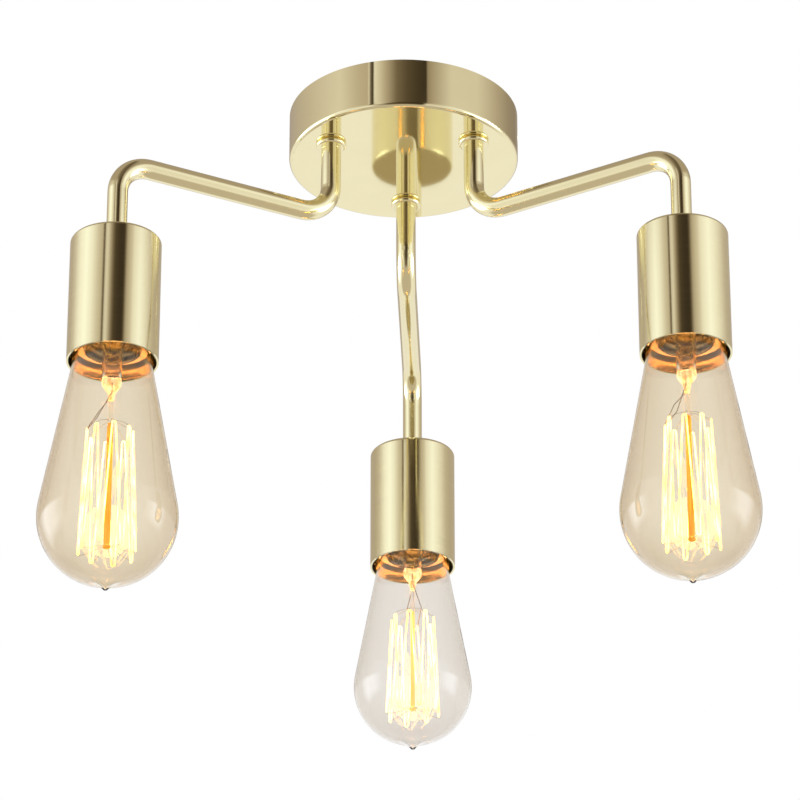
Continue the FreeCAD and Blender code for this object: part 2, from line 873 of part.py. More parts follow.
def make_sleeve(side, azimuth):
    """The screw sleeve: its flange lies on the socket floor and meets the neutral post."""
    body = new_body(f"{side}_sleeve")
    inside, outside = s.sleeve_bore / 2, s.sleeve_bore / 2 + s.sleeve_wall
    profile = [
        (s.sleeve_flange_r, 0),
        (outside, 0),
        (outside, -s.sleeve_len),
        (inside, -s.sleeve_len),
        (inside, -s.sleeve_wall),
        (s.sleeve_flange_r, -s.sleeve_wall),
    ]
    turned(body, "screw_sleeve", profile)
    place(body, s.lamp_circle_r, azimuth, SOCKET_TOP)
    keep(body, f"{side}_threaded_sleeve")


def make_tongue(side, azimuth):
    """The centre contact: a sprung strip folded back under the live post."""
    body = new_body(f"{side}_tongue")
    sketch = new_sketch(body, "YZ_Plane", "tongue_side")
    outer, thick = s.tongue_fold_r, s.tongue_t
    inner = outer - thick
    root, fold, tip = s.live_post_y + s.post_d / 2, -s.tongue_reach, s.tongue_tip_y
    profile = [
        (root, 0),
        (fold, 0, outer),
        (fold - outer, -outer, outer),
        (fold, -2 * outer),
        (tip - 2 * s.tongue_t, -s.tongue_rise),
        (tip, -s.tongue_rise),
        (tip, thick - s.tongue_rise),
        (tip - 2 * s.tongue_t, thick - s.tongue_rise),
        (fold, thick - 2 * outer, -inner),
        (fold - inner, -outer, -inner),
        (fold, -thick),
        (root, -thick),
    ]
    outline(sketch, profile)
    pad(body, "tongue_strip", sketch, s.tongue_w, middle=True)
    place(body, s.lamp_circle_r, azimuth, SOCKET_TOP)
    keep(body, f"{side}_centre_contact")


def make_posts(side, azimuth):
    """Two brass posts through the lampholder's floor, cross-drilled for the leads."""
    posts = []
    for name, y in (("live", s.live_post_y), ("neutral", -s.neutral_post_y)):
        length = s.post_proud + s.holder_floor
        hole = cylinder(f"{name}_hole", s.lead_d / 2 + s.lead_gap, s.post_d * 2)
        hole.Placement.Rotation = FreeCAD.Rotation(V(1, 0, 0), 90)
        bind(hole, "Placement.Base.y", s.post_d)
        bind(hole, "Placement.Base.z", SOCKET_TOP - POST_HOLE)
        post = cut(f"{name}_post", cylinder(f"{name}_rod", s.post_d / 2, length), hole)
        bind(post, "Placement.Base.y", y)
        posts.append(post)
    pair = group(f"{side}_terminal_posts", posts)
    place(pair, s.lamp_circle_r, azimuth, SOCKET_TOP)


# ---------------------------------------------------------------- leads


def polygon_tube(points, diameter, sides):
    """A wire of polygonal section through points, mitred at each one."""
    ways = [(b - a).normalize() for a, b in zip(points, points[1:])]
    across = ways[0].cross(SKEW).normalize()
    upright = ways[0].cross(across)
    ring = []
    for i in range(sides):
        turn = 2 * math.pi * i / sides
        ring.append(points[0] + (across * math.cos(turn) + upright * math.sin(turn)) * (diameter / 2))
    rings = [ring]
    for i, way in enumerate(ways):
        mitre = way + ways[i + 1] if i + 1 < len(ways) else way
        ring = [p + way * ((points[i + 1] - p).dot(mitre) / way.dot(mitre)) for p in ring]
        rings.append(ring)
    faces = [Part.Face(Part.makePolygon(r + r[:1])) for r in (rings[0], rings[-1])]
    for low, high in zip(rings, rings[1:]):
        for i in range(sides):
            j = (i + 1) % sides
            faces.append(Part.Face(Part.makePolygon([low[i], low[j], high[j], high[i], low[i]])))
    solid = Part.Solid(Part.Shell(faces))
    if solid.Volume < 0:
        solid.reverse()
    return solid


def with_arcs(corners, radii):
    """Points along straight runs joined by tangent arcs, one radius for each inner corner."""
    points = [corners[0]]
    for before, corner, after, radius in zip(corners, corners[1:], corners[2:], radii):
        back, on = (before - corner).normalize(), (after - corner).normalize()
        half = back.getAngle(on) / 2
        reach = radius / math.tan(half)
        centre = corner + (back + on).normalize() * (radius / math.sin(half))
        start, stop = corner + back * reach - centre, corner + on * reach - centre
        sweep = start.getAngle(stop)
        for step in range(ARC_STEPS + 1):
            share = step / ARC_STEPS
            spoke = start * math.sin((1 - share) * sweep) + stop * math.sin(share * sweep)
            points.append(centre + spoke * (1 / math.sin(sweep)))
    points.append(corners[-1])
    return points


def lead_corners(azimuth, pole, offset, height, end_y):
    """The corners of one lead, from its pole in the block to its post in the lampholder."""
    angle = math.radians(azimuth)
    outward = V(math.cos(angle), math.sin(angle), 0)
    across = V(-math.sin(angle), math.cos(angle), 0)
    near = outward * s.arm_circle_r.value + across * offset
    far = outward * s.lamp_circle_r.value + across * offset
    pole_x = s.pole_pitch.value * pole
    start_y = math.copysign(s.lead_start_y.value, near.y)
    turn_y = near.y if near.y < 0 else s.block_w.value
    corners = [V(pole_x, start_y, height), V(pole_x, turn_y, height)]
    corners.append(V(near.x, near.y, height))
    run = V(0, 0, -RUN_DROP.value)
    corners += [near + run, far + run, far + V(0, 0, -POST_HOLE.value)]
    last = outward * s.lamp_circle_r.value + across * end_y
    corners.append(last + V(0, 0, -POST_HOLE.value))
    return corners


def make_leads(side, azimuth):
    """The live and neutral leads, side by side through the arm's bore."""
    level = {"left": 1, "right": -1, "rear": 0}[side] * (s.lead_d.value / 2 + s.lead_stack.value)
    height = level - BORE_DROP.value
    first, bend, last = s.lead_bend_r.value, s.arm_bend_r.value, s.lead_end_r.value
    solids = []
    for name, sign in (("live", 1), ("neutral", -1)):
        offset = sign * s.lead_pair.value
        end_y = s.live_post_y.value if name == "live" else -s.neutral_post_y.value
        pole = -sign if side == "rear" else sign
        corners = lead_corners(azimuth, pole, offset, height, end_y)
        points = with_arcs(corners, [first, first, bend, bend, last])
        solids.append(polygon_tube(points, s.lead_d.value, LEAD_SIDES))
    piece = doc.addObject("Part::Feature", f"{side}_leads_pair")
    piece.Shape = Part.Compound(solids)
    keep(piece, f"{side}_leads")


# ---------------------------------------------------------------- bulbs

# Each bulb is drawn with its contact eyelet on the XY plane and hangs down from it.


def bulb_spot(piece, azimuth):
    place(piece, s.lamp_circle_r, azimuth, BULB_SEAT)


def make_eyelet(side, azimuth):
    """The small domed contact at the very end of the bulb."""
    body = new_body(f"{side}_eyelet")
    radius = s.eyelet_d / 2
    profile = [
        (0, 0),
        (s.eyelet_crown_d / 2, 0),
        (radius, -s.eyelet_t / 2),
        (radius, -s.eyelet_t),
        (0, -s.eyelet_t),
    ]
    turned(body, "eyelet", profile)
    bulb_spot(body, azimuth)
    keep(body, f"{side}_bulb_eyelet")


def make_insulator(side, azimuth):
    """The dark glass cone between the eyelet and the screw cap."""
    body = new_body(f"{side}_insulator")
    top = s.eyelet_t + s.eyelet_gap
    radius = s.insulator_d / 2
    profile = [
        (0, -top),
        (s.eyelet_d / 2, -top),
        (radius, -s.insulator_drop),
        (radius, -s.insulator_drop - s.insulator_t),
        (0, -s.insulator_drop - s.insulator_t),
    ]
    turned(body, "insulator_cone", profile)
    bulb_spot(body, azimuth)
    keep(body, f"{side}_bulb_insulator")


def make_bulb_cap(side, azimuth):
    """The thin screw cap that grips the glass neck."""
    body = new_body(f"{side}_bulb_cap")
    radius, wall = s.bulb_cap_d / 2, s.bulb_cap_wall
    rim = s.insulator_d / 2 + s.eyelet_gap
    shoulder = s.insulator_drop + s.bulb_cap_cone
    profile = [
        (rim, -s.insulator_drop),
        (radius, -shoulder),
        (radius, -s.bulb_cap_len),
        (radius - wall, -s.bulb_cap_len),
        (radius - wall, -shoulder - wall / 2),
        (rim, -s.insulator_drop - s.bulb_cap_lip),
    ]
    turned(body, "screw_cap", profile)
    bulb_spot(body, azimuth)
    keep(body, f"{side}_bulb_cap")


def flank_radius(ball_r, ball_drop, drop):
    """The radius of the straight flank, which is tangent to the ball, at a drop."""
    touch = ball_drop - ball_r * sine(s.flank_angle)
    slope = sine(s.flank_angle) / cosine(s.flank_angle)
    return ball_r * cosine(s.flank_angle) - (touch - drop) * slope


def glass_wall(ball_r, ball_drop, neck_r, neck_end, sink):
    """Corners of one face of the glass from the neck to the ball."""
    touch = ball_drop - ball_r * sine(s.flank_angle)
    shoulder = neck_end + s.shoulder_drop + sink
    return [
        (neck_r, -(s.bulb_cap_len - s.neck_depth)),
        (neck_r, -(neck_end + sink)),
        (flank_radius(ball_r, ball_drop, shoulder), -shoulder),
        (ball_r * cosine(s.flank_angle), -touch),
    ]


def make_glass(side, azimuth, width, length):
    """The envelope: neck, rounded shoulder, straight flank, ball and a drawn-out sealed tip."""
    body = new_body(f"{side}_glass")
    ball_r, wall = width / 2, s.glass_wall
    ball_drop = length - s.pip_len - ball_r
    neck_end = s.bulb_cap_len + s.neck_proud
    pip_r, pip_root = s.pip_d / 2, s.pip_root_r
    outer = glass_wall(ball_r, ball_drop, s.neck_d / 2, neck_end, 0)
    inner = glass_wall(ball_r - wall, ball_drop, s.neck_d / 2 - wall, neck_end, wall)
    pip_top = ball_drop + other_leg(ball_r, pip_root)
    profile = [(0, -length), (pip_r, -length, -s.pip_flare_r), (pip_root, -pip_top, ball_r)]
    profile += outer[::-1]
    profile += inner[:3]
    profile += [(*inner[3], -(ball_r - wall)), (0, -(ball_drop + ball_r - wall))]
    turned(body, "envelope", profile)
    for name, ring, radius in (
        ("outer_shoulder", outer[2], s.shoulder_r),
        ("inner_shoulder", inner[2], s.shoulder_r - wall),
    ):
        rounded(body, name, radius, [(ring[0], -ring[1])])
    bulb_spot(body, azimuth)
    keep(body, f"{side}_bulb_glass")


def cage_drops(length, cage_len):
    """How far the top and the base of the filament cage lie below the eyelet."""
    base = length - s.cage_clear
    return base - cage_len, base


def make_stem(side, azimuth, length, cage_len):
    """The glass mount: a flare sealed to the neck, a pinched tube and a long thin rod."""
    body = new_body(f"{side}_stem")
    top, base = cage_drops(length, cage_len)
    flare_r, tube_r, rod_r = s.neck_d / 2 - s.glass_wall, s.stem_d / 2, s.rod_d / 2
    high = s.bulb_cap_len - s.neck_depth
    button, band = s.button_d / 2, s.spoke_d
    pinch = top - s.pinch_clear
    profile = [
        (0, -high - s.flare_lip),
        (flare_r - s.flare_lip, -high),
        (flare_r, -high),
        (tube_r + s.flare_lip, -high - s.flare_len),
        (tube_r, -high - s.flare_taper),
        (tube_r, -(pinch - s.pinch_len)),
        (s.pinch_t / 2, -(pinch - s.pinch_len + s.pinch_taper)),
        (s.pinch_t / 2, -pinch),
        (rod_r, -pinch - s.pinch_taper / 2),
        (rod_r, -(top - s.spoke_pitch - button)),
        (button, -(top - s.spoke_pitch - band)),
        (button, -(top - s.spoke_pitch + band)),
        (rod_r, -(top - s.spoke_pitch + button)),
        (rod_r, -(base - s.spoke_pitch - button)),
        (button, -(base - s.spoke_pitch - band)),
        (button, -(base - s.spoke_pitch + band)),
        (0, -(base - s.spoke_pitch + button)),
    ]
    turned(body, "mount", profile)
    press = new_sketch(body, "YZ_Plane", "press_side")
    press_top = pinch - s.pinch_len + s.pinch_taper / 2
    outline(press, box_corners(-tube_r, -pinch, tube_r, -press_top))
    pad(body, "pinch", press, s.press_t, middle=True)
    bulb_spot(body, azimuth)
    keep(body, f"{side}_bulb_stem")


def cage_point(turns, radius, drop):
    angle = 2 * math.pi * turns
    return V(radius * math.cos(angle), radius * math.sin(angle), -drop)


def make_filament(side, azimuth, length, cage_len):
    """A squirrel-cage filament: long legs zigzag between a top and a base ring of hooks."""
    top, base = (drop.value for drop in cage_drops(length, cage_len))
    top_r, base_r = s.cage_top_r.value, s.cage_base_r.value
    half_top = s.hook_width.value / (4 * math.pi * top_r)
    half_base = s.hook_width.value / (4 * math.pi * base_r)
    points = []
    for loop in range(CAGE_LOOPS):
        here, between = loop / CAGE_LOOPS, (loop + 0.5) / CAGE_LOOPS
        if loop:
            points.append(cage_point(here - half_top, top_r, top))
        points.append(cage_point(here + half_top, top_r, top))
        points.append(cage_point(between - half_base, base_r, base))
        points.append(cage_point(between + half_base, base_r, base))
    points.append(cage_point(-half_top, top_r, top))
    wire = doc.addObject("Part::Feature", f"{side}_filament_wire")
    wire.Shape = polygon_tube(points, s.filament_d.value, WIRE_SIDES)
    bulb_spot(wire, azimuth)
    keep(wire, f"{side}_bulb_filament")


def spoke(turns, reach, drop, hook):
    """A hook wire that leaves the rod's button square to it and then slants to its hook."""
    bend = cage_point(turns, reach + s.spoke_root.value, drop)
    return [cage_point(turns, reach, drop), bend, hook]


def make_supports(side, azimuth, length, cage_len):
    """Hook wires that fan out from the rod's buttons, and the two lead-in wires."""
    top, base = (drop.value for drop in cage_drops(length, cage_len))
    pinch = top - s.pinch_clear.value
    pitch, reach = s.spoke_pitch.value, s.button_d.value / 2
    clear = s.filament_d.value / 2 + s.spoke_d.value / 2
    half_top = s.hook_width.value / (4 * math.pi * s.cage_top_r.value)
    wires = []
    for loop in range(CAGE_LOOPS):
        here, between = loop / CAGE_LOOPS, (loop + 0.5) / CAGE_LOOPS
        if loop:
            hook = cage_point(here, s.cage_top_r.value, top + clear)
            wires.append(spoke(here, reach, top - pitch, hook))
        hook = cage_point(between, s.cage_base_r.value, base - clear)
        wires.append(spoke(between, reach, base - pitch, hook))
    for sign in (-1, 1):
        foot = V(0, sign * (s.stem_d.value / 2 - s.lead_in_inset.value), -pinch)
        end = cage_point(sign * half_top, s.cage_top_r.value, top - s.spoke_d.value / 2)
        wires.append([foot, foot - V(0, 0, pitch / 2), end])
    solids = [polygon_tube(wire, s.spoke_d.value, WIRE_SIDES) for wire in wires]
    piece = doc.addObject("Part::Feature", f"{side}_support_wires")
    piece.Shape = Part.Compound(solids)
    bulb_spot(piece, azimuth)
    keep(piece, f"{side}_filament_supports")


def make_lamp(side, azimuth):
    """Everything that one arm carries."""
    make_arm(side, azimuth)
    make_collar(side, azimuth)
    make_cup(side, azimuth)
    make_holder_cap(side, azimuth)
    make_holder_body(side, azimuth)
    make_sleeve(side, azimuth)
    make_tongue(side, azimuth)
    make_posts(side, azimuth)
    make_leads(side, azimuth)
    make_eyelet(side, azimuth)
    make_insulator(side, azimuth)
    make_bulb_cap(side, azimuth)
    clear = side == "rear"
    width = s.clear_bulb_d if clear else s.amber_bulb_d
    length = s.clear_bulb_len if clear else s.amber_bulb_len
    cage_len = s.clear_cage_len if clear else s.amber_cage_len
    make_glass(side, azimuth, width, length)
    make_stem(side, azimuth, length, cage_len)
    make_filament(side, azimuth, length, cage_len)
    make_supports(side, azimuth, length, cage_len)


def check_document():
    """Stops on any object that failed to build."""
    doc.recompute()
    for item in doc.Objects:
        if "Invalid" in item.State or "Error" in item.State:
            raise RuntimeError(f"{item.Name} failed: {item.State}")
    for piece in sub_parts:
        shape = piece.Shape
        if shape.isNull() or not shape.isValid() or not shape.Solids:
            raise RuntimeError(f"{piece.Label} has no valid solid")


def export_parts():
    os.makedirs("parts", exist_ok=True)
    for piece in sub_parts:
        piece.Shape.exportStep(os.path.join("parts", f"{piece.Label}.step"))


make_canopy()
make_bracket()
make_canopy_screws()
make_terminal_block()
make_terminal_inserts()
make_small_screws()
make_nuts_and_washers()
for lamp_side, lamp_azimuth in LAMPS.items():
    make_lamp(lamp_side, lamp_azimuth)
check_document()
export_parts()
for piece in sub_parts:
    solids = len(piece.Shape.Solids)
    print(f"{piece.Label}: {solids} solid(s), {piece.Shape.Volume:.1f} mm3")
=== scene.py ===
import math
import random

import bmesh
import bpy
from mathutils import Matrix, Vector


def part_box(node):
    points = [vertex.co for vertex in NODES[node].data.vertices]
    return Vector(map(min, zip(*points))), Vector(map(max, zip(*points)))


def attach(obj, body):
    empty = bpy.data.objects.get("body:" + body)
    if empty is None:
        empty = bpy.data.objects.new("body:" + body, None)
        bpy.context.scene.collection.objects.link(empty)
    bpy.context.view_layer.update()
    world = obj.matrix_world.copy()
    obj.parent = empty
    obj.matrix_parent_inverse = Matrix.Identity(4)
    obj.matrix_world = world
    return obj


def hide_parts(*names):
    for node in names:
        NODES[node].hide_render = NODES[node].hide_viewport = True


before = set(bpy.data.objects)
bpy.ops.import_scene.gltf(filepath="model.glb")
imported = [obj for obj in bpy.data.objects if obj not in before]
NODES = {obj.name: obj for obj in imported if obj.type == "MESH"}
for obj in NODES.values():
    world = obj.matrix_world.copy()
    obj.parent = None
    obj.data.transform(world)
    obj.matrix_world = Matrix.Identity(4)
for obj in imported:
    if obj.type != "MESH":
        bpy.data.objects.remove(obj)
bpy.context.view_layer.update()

MM = 0.001
LAMPS = ("left", "right", "rear")

# The photograph's view: where the eye is and what it looks at, in metres.
EYE = Vector((0.0572, -1.9414, -1.1382))
TARGET = Vector((-0.0017, 0.0, -0.1527))
LENS_MM = 209.1
SENSOR_MM = 36.0
FAR_CLIP = 50.0

# The pan's depth, in metres, and how rough the pan and the tubes below it are.
PAN_DEPTH = 0.025
PAN_ROUGHNESS = 0.05
TUBE_ROUGHNESS = 0.13

# Sizes of the bulbs are in millimetres. Drops are measured down from the bulb's end contact.
# Screw cap: a cone, the thread from its start to its end, and a plain rim.
CAP_TOP = 4.2
CAP_TOP_R = 9.55
CAP_LEN = 27.0
CAP_SHEET = 0.25
CONE_INSET = 1.0
CONE_RISE = 1.2
CREST_R = 13.1
ROOT_R = 12.15
THREAD_PITCH = 3.629
THREAD_START = 7.0
THREAD_END = 24.4
THREAD_RUN_OUT = 1.4
THREAD_FULLNESS = 0.8
RIM_DROP = 0.8
CAP_STEPS = 96
CAP_ROWS = 58

# Envelope: the neck, which is narrower inside the thread, then the shoulder, flank and ball.
# Rises are measured up from the thread's end, the cap's rim and the neck's end.
NECK_R = 12.5
NECK_TOP = 16.0
NECK_INSET = 0.9
NECK_STEP_RISE = 0.6
NECK_FULL_RISE = 1.6
NECK_END = 27.4
NECK_CORNER_R = 0.25
NECK_CORNER_RISE = 0.3
SHOULDER_DROP = 1.6
SHOULDER_R = 2.6
FLANK_ANGLE = math.radians(10.5)
FLANK_DROPS = (45.0, 60.0, 75.0, 90.0)
FLANK_CLEAR = 4.0
GLASS_WALL = 0.7
ENVELOPE_STEPS = 192

# The drawn-out tip: its root on the ball, its flare, and its bead, which is given as shares of
# the tip's radius at heights above the tip's end.
PIP_R = 1.2
PIP_LEN = 4.0
PIP_ROOT_R = 10.0
PIP_FLARE_R = 21.3
PIP_BEAD_TOP = 0.5
PIP_BEAD = ((0.8, 0.15), (0.4, 0.02), (0.0, 0.0))
INNER_ROOT_R = 8.0
INNER_TIP_R = 0.5
INNER_TIP_GAP = 0.8
ROOT_MARGIN = 0.05

# Filament cage: its two rings of hooks and the wire that zigzags between them. The hooks' heights
# are scattered a little, and the wire starts and ends part of the way over a hook, in its steps.
CAGE_LOOPS = 8
CAGE_TOP_R = 10.5
CAGE_BASE_R = 13.0
CAGE_CLEAR = 17.2
CAGE_LEN = {"left": 62.0, "right": 62.0, "rear": 53.0}
HOOK_R = 0.8
HOOK_HEIGHT = 0.9
HOOK_STEPS = 6
HOOK_SCATTER = (-0.3, 1.6)
FIRST_HOOK_FROM = 4
LAST_HOOK_TO = 3
FILAMENT_R = 0.36
# How far each bulb's filament mount and its press of glass are turned about its axis, in turns.
MOUNT_TURN = {"left": 0.54, "right": 0.47, "rear": 0.23}
PRESS_TURN = {"left": 0.28, "right": 0.22, "rear": 0.25}

# Support wires: straight out of the rod's button, bowed, and ending in the hook. Shares are of
# the button's radius, the wire's reach and the hook's radius.
SPOKE_R = 0.09
SPOKE_PITCH = 4.0
SPOKE_ROOT = 0.8
SPOKE_STRAIGHT = 1.0
SPOKE_BOW_AT = 0.6
SPOKE_BOW = 0.8
SPOKE_HOOKED = 0.4

# The two lead-in wires, each with the way that it bows and the edge of the press, in turns, that
# it leaves. Places are (radius, drop): the first two from the stem's pinch, the others from the
# cage's top.
LEAD_INS = ((-1, 0.5), (1, 0.0))
LEAD_IN_R = 0.2
LEAD_IN_FOOT = (2.6, -4.0)
LEAD_IN_EXIT = (2.8, 1.0)
LEAD_IN_BOW = (CAGE_TOP_R * 0.62, -7.5)
LEAD_IN_END = (CAGE_TOP_R, HOOK_R)
LEAD_IN_BOW_TURN = 0.09
LEAD_IN_END_TURN = 0.012

# Stem: a tube, flared at the neck and drawn in at its end. The flare is (radius past the tube's,
# drop below the neck's top) and the drawn end (share of the tube's radius, drop below the tube).
STEM_R = 4.5
STEM_WALL = 0.9
STEM_END_WALL = 0.6
STEM_LIP = (0.3, 1.2)
STEM_FLARE = ((4.0, 3.0), (1.6, 6.0), (0.4, 9.5), (0.0, 13.0))
STEM_CLOSE = ((1.0, 0.0), (0.9, 1.4), (0.66, 2.6))
STEM_STEPS = 64

# The glass press round the pinch, as (radius, drop), and its thickness as a share of its breadth.
PINCH_CLEAR = 18.5
PINCH_LEN = 9.0
PRESS_PROFILE = ((0.0, -8.4), (3.6, -8.2), (4.4, -7.2), (4.6, -5.0), (4.3, -3.4), (3.2, -1.8),
                 (2.0, -0.2), (1.5, 1.8), (1.3, 4.0), (0.0, 4.4))
PRESS_FLATNESS = 0.5
PRESS_STEPS = 40

# Rod and buttons. Profiles are (share of the rod's radius, drop): from the pinch, from the upper
# button twice, and from the lower one. The lit part is broader in the amber bulbs.
ROD_R = 1.1
GLOW_ROD_R = 1.5
BUTTON_R = 1.7
ROD_ROOT = ((0.0, -1.0), (1.5, -0.6), (1.1, 0.8))
ROD_WAIST = (0.8, -4.0)
LIT_ROD_TOP = ((0.0, 0.4), (0.7, 0.9), (1.0, 3.0))
LIT_ROD_END = ((1.0, -2.0), (0.8, -0.9))
FOOT_BREADTH = 1.1
FOOT_HEIGHT = 0.6
FOOT_END = 0.7
ROD_STEPS = 32

# Radii below this, in millimetres, are a point on the axis.
ON_AXIS = 1e-6


# ---------------------------------------------------------------- node helpers


class NodeTree:
    """Short ways to add nodes to a tree and wire them."""

    def __init__(self, tree):
        self.tree = tree

    def add(self, kind, **settings):
        node = self.tree.nodes.new(kind)
        for key, value in settings.items():
            setattr(node, key, value)
        return node

    def link(self, source, target):
        self.tree.links.new(source, target)

    def maths(self, operation, *values):
        """Works out an operation on values, each a plain number or another node's output."""
        node = self.add("ShaderNodeMath", operation=operation)
        for socket, value in zip(node.inputs, values):
            if isinstance(value, float):
                socket.default_value = value
            else:
                self.link(value, socket)
        return node.outputs[0]

    def spread(self, factor, low, high, start=0.3, end=0.7, **settings):
        """Maps a value, such as a texture's, from start and end to low and high."""
        node = self.add("ShaderNodeMapRange", **settings)
        node.inputs["From Min"].default_value = start
        node.inputs["From Max"].default_value = end
        node.inputs["To Min"].default_value = low
        node.inputs["To Max"].default_value = high
        self.link(factor, node.inputs["Value"])
        return node.outputs["Result"]

    def mix(self, factor, first, second):
        """Mixes two colours, each a plain colour or another node's output."""
        node = self.add("ShaderNodeMix", data_type="RGBA")
        self.link(factor, node.inputs["Factor"])
        for socket, colour in ((node.inputs[6], first), (node.inputs[7], second)):
            if isinstance(colour, tuple):
                socket.default_value = (*colour, 1.0)
            else:
                self.link(colour, socket)
        return node.outputs[2]

    def coordinates(self, stretch=(1.0, 1.0, 1.0)):
        """Object coordinates in metres, scaled along each axis."""
        place = self.add("ShaderNodeTexCoord")
        mapping = self.add("ShaderNodeMapping")
        mapping.inputs["Scale"].default_value = stretch
        self.link(place.outputs["Object"], mapping.inputs["Vector"])
        return mapping.outputs["Vector"]

    def height(self):
        """Height in metres, which is 0 at the ceiling."""
        split = self.add("ShaderNodeSeparateXYZ")
        self.link(self.coordinates(), split.inputs[0])
        return split.outputs["Z"]

    def noise(self, size_mm, detail=2.0, stretch=(1.0, 1.0, 1.0)):
        texture = self.add("ShaderNodeTexNoise")
        texture.inputs["Scale"].default_value = 1.0 / (size_mm * MM)
        texture.inputs["Detail"].default_value = detail
        self.link(self.coordinates(stretch), texture.inputs["Vector"])
        return texture.outputs["Fac"]


class Shader(NodeTree):
    """A new material with one Principled shader."""

    def __init__(self, name):
        self.material = bpy.data.materials.new(name)
        self.material.use_nodes = True
        super().__init__(self.material.node_tree)
        self.surface = self.tree.nodes["Principled BSDF"]

    def set(self, **values):
        """Sets the shader's own sockets; an underscore stands for the space in a name."""
        for name, value in values.items():
            self.surface.inputs[name.replace("_", " ")].default_value = value

    def drive(self, **outputs):
        """Links outputs to the shader's own sockets, named in the same way."""
        for name, output in outputs.items():
            self.link(output, self.surface.inputs[name.replace("_", " ")])

    def bump(self, output, depth_mm):
        node = self.add("ShaderNodeBump")
        node.inputs["Distance"].default_value = depth_mm * MM
        self.link(output, node.inputs["Height"])
        self.link(node.outputs["Normal"], self.surface.inputs["Normal"])


# ---------------------------------------------------------------- materials


def polished_brass():
    """Mirror bright on the pan, and softer on the tubes and rings that hang below it."""
    shader = Shader("polished_brass")
    shader.set(Metallic=1.0, Coat_Weight=0.6, Coat_Roughness=0.03, Coat_IOR=1.5)
    tone = shader.mix(shader.noise(size_mm=14.0), (0.82, 0.745, 0.455), (0.86, 0.785, 0.495))
    haze = shader.spread(shader.noise(size_mm=3.0, detail=6.0), low=0.9, high=1.1)
    softness = shader.spread(shader.height(), TUBE_ROUGHNESS, PAN_ROUGHNESS,
                             start=-PAN_DEPTH - MM, end=-PAN_DEPTH)
    shader.drive(Base_Color=tone, Roughness=shader.maths("MULTIPLY", haze, softness))
    shader.bump(shader.noise(size_mm=9.0), depth_mm=0.004)
    return shader.material


def satin_brass():
    """Fine rings round the axis spread the gloss along it and leave it sharp across."""
    shader = Shader("satin_brass")
    shader.set(Metallic=1.0, Anisotropic=0.8, Anisotropic_Rotation=0.25)
    shader.set(Coat_Weight=0.25, Coat_Roughness=0.05)
    tangent = shader.add("ShaderNodeTangent", direction_type="RADIAL", axis="Z")
    rings = shader.noise(size_mm=1.0, detail=3.0, stretch=(0.02, 0.02, 1.6))
    shader.drive(
        Tangent=tangent.outputs["Tangent"],
        Base_Color=shader.mix(rings, (0.79, 0.72, 0.45), (0.85, 0.775, 0.50)),
        Roughness=shader.spread(rings, low=0.11, high=0.16),
    )
    shader.bump(rings, depth_mm=0.003)
    return shader.material


def bare_metal(name, dark, light, rough, grain_mm):
    shader = Shader(name)
    shader.set(Metallic=1.0)
    grain = shader.noise(grain_mm, detail=4.0)
    shader.drive(Base_Color=shader.mix(grain, dark, light),
                 Roughness=shader.spread(grain, low=rough, high=rough + 0.12))
    shader.bump(shader.noise(grain_mm / 3), depth_mm=0.01)
    return shader.material


def moulded(name, dark, light, rough):
    shader = Shader(name)
    mottle = shader.noise(size_mm=5.0, detail=5.0)
    wear = shader.noise(size_mm=1.2, detail=3.0)
    shader.drive(Base_Color=shader.mix(mottle, dark, light),
                 Roughness=shader.spread(wear, low=rough, high=rough + 0.15))
    shader.bump(shader.noise(size_mm=0.7, detail=3.0), depth_mm=0.01)
    return shader.material


def glass(name, middle, edge, side):
    """Blown glass: its wall looks deeper in colour where it turns edge on, but not at the tip."""
    shader = Shader(name)
    shader.set(Transmission_Weight=1.0, IOR=1.48, Roughness=0.0)
    facing = shader.add("ShaderNodeLayerWeight")
    facing.inputs["Blend"].default_value = 0.35
    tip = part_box(f"{side}_bulb_glass")[0].z
    above_tip = shader.spread(shader.height(), 0.0, 1.0, start=tip + 3 * MM, end=tip + 9 * MM)
    depth = shader.maths("MULTIPLY", facing.outputs["Facing"], above_tip)
    shader.drive(Base_Color=shader.mix(depth, middle, edge))
    shader.bump(shader.noise(size_mm=16.0), depth_mm=0.03)
    return shader.material


def stem_glass():
    shader = Shader("stem_glass")
    shader.set(Transmission_Weight=1.0, IOR=1.5, Roughness=0.02)
    tone = shader.mix(shader.noise(size_mm=3.0), (0.98, 0.93, 0.84), (1.0, 0.97, 0.92))
    shader.drive(Base_Color=tone)
    shader.bump(shader.noise(size_mm=2.5, detail=3.0), depth_mm=0.12)
    return shader.material


def glowing_tungsten():
    """White-hot wire, a little yellower in places."""
    shader = Shader("tungsten")
    shader.set(Base_Color=(0.2, 0.18, 0.16, 1.0))
    heat = shader.noise(size_mm=9.0)
    hotter = shader.spread(heat, low=0.0, high=1.0)
    shader.drive(Emission_Color=shader.mix(hotter, (1.0, 0.42, 0.05), (1.0, 0.56, 0.14)),
                 Emission_Strength=shader.spread(heat, low=7.0, high=10.0))
    return shader.material


def lit_rod(name, dim, bright):
    """Glass with a painted glow in long streaks, in place of the filament's light that it
    carries.
    """
    shader = Shader(name)
    shader.set(IOR=1.5, Roughness=0.1, Emission_Strength=1.0)
    streaks = shader.noise(size_mm=0.8, detail=3.0, stretch=(1.0, 1.0, 0.03))
    streaks = shader.spread(streaks, low=0.0, high=1.0)
    shader.drive(Emission_Color=shader.mix(streaks, dim, bright),
                 Base_Color=shader.mix(streaks, (0.10, 0.04, 0.0), (0.16, 0.07, 0.01)))
    return shader.material


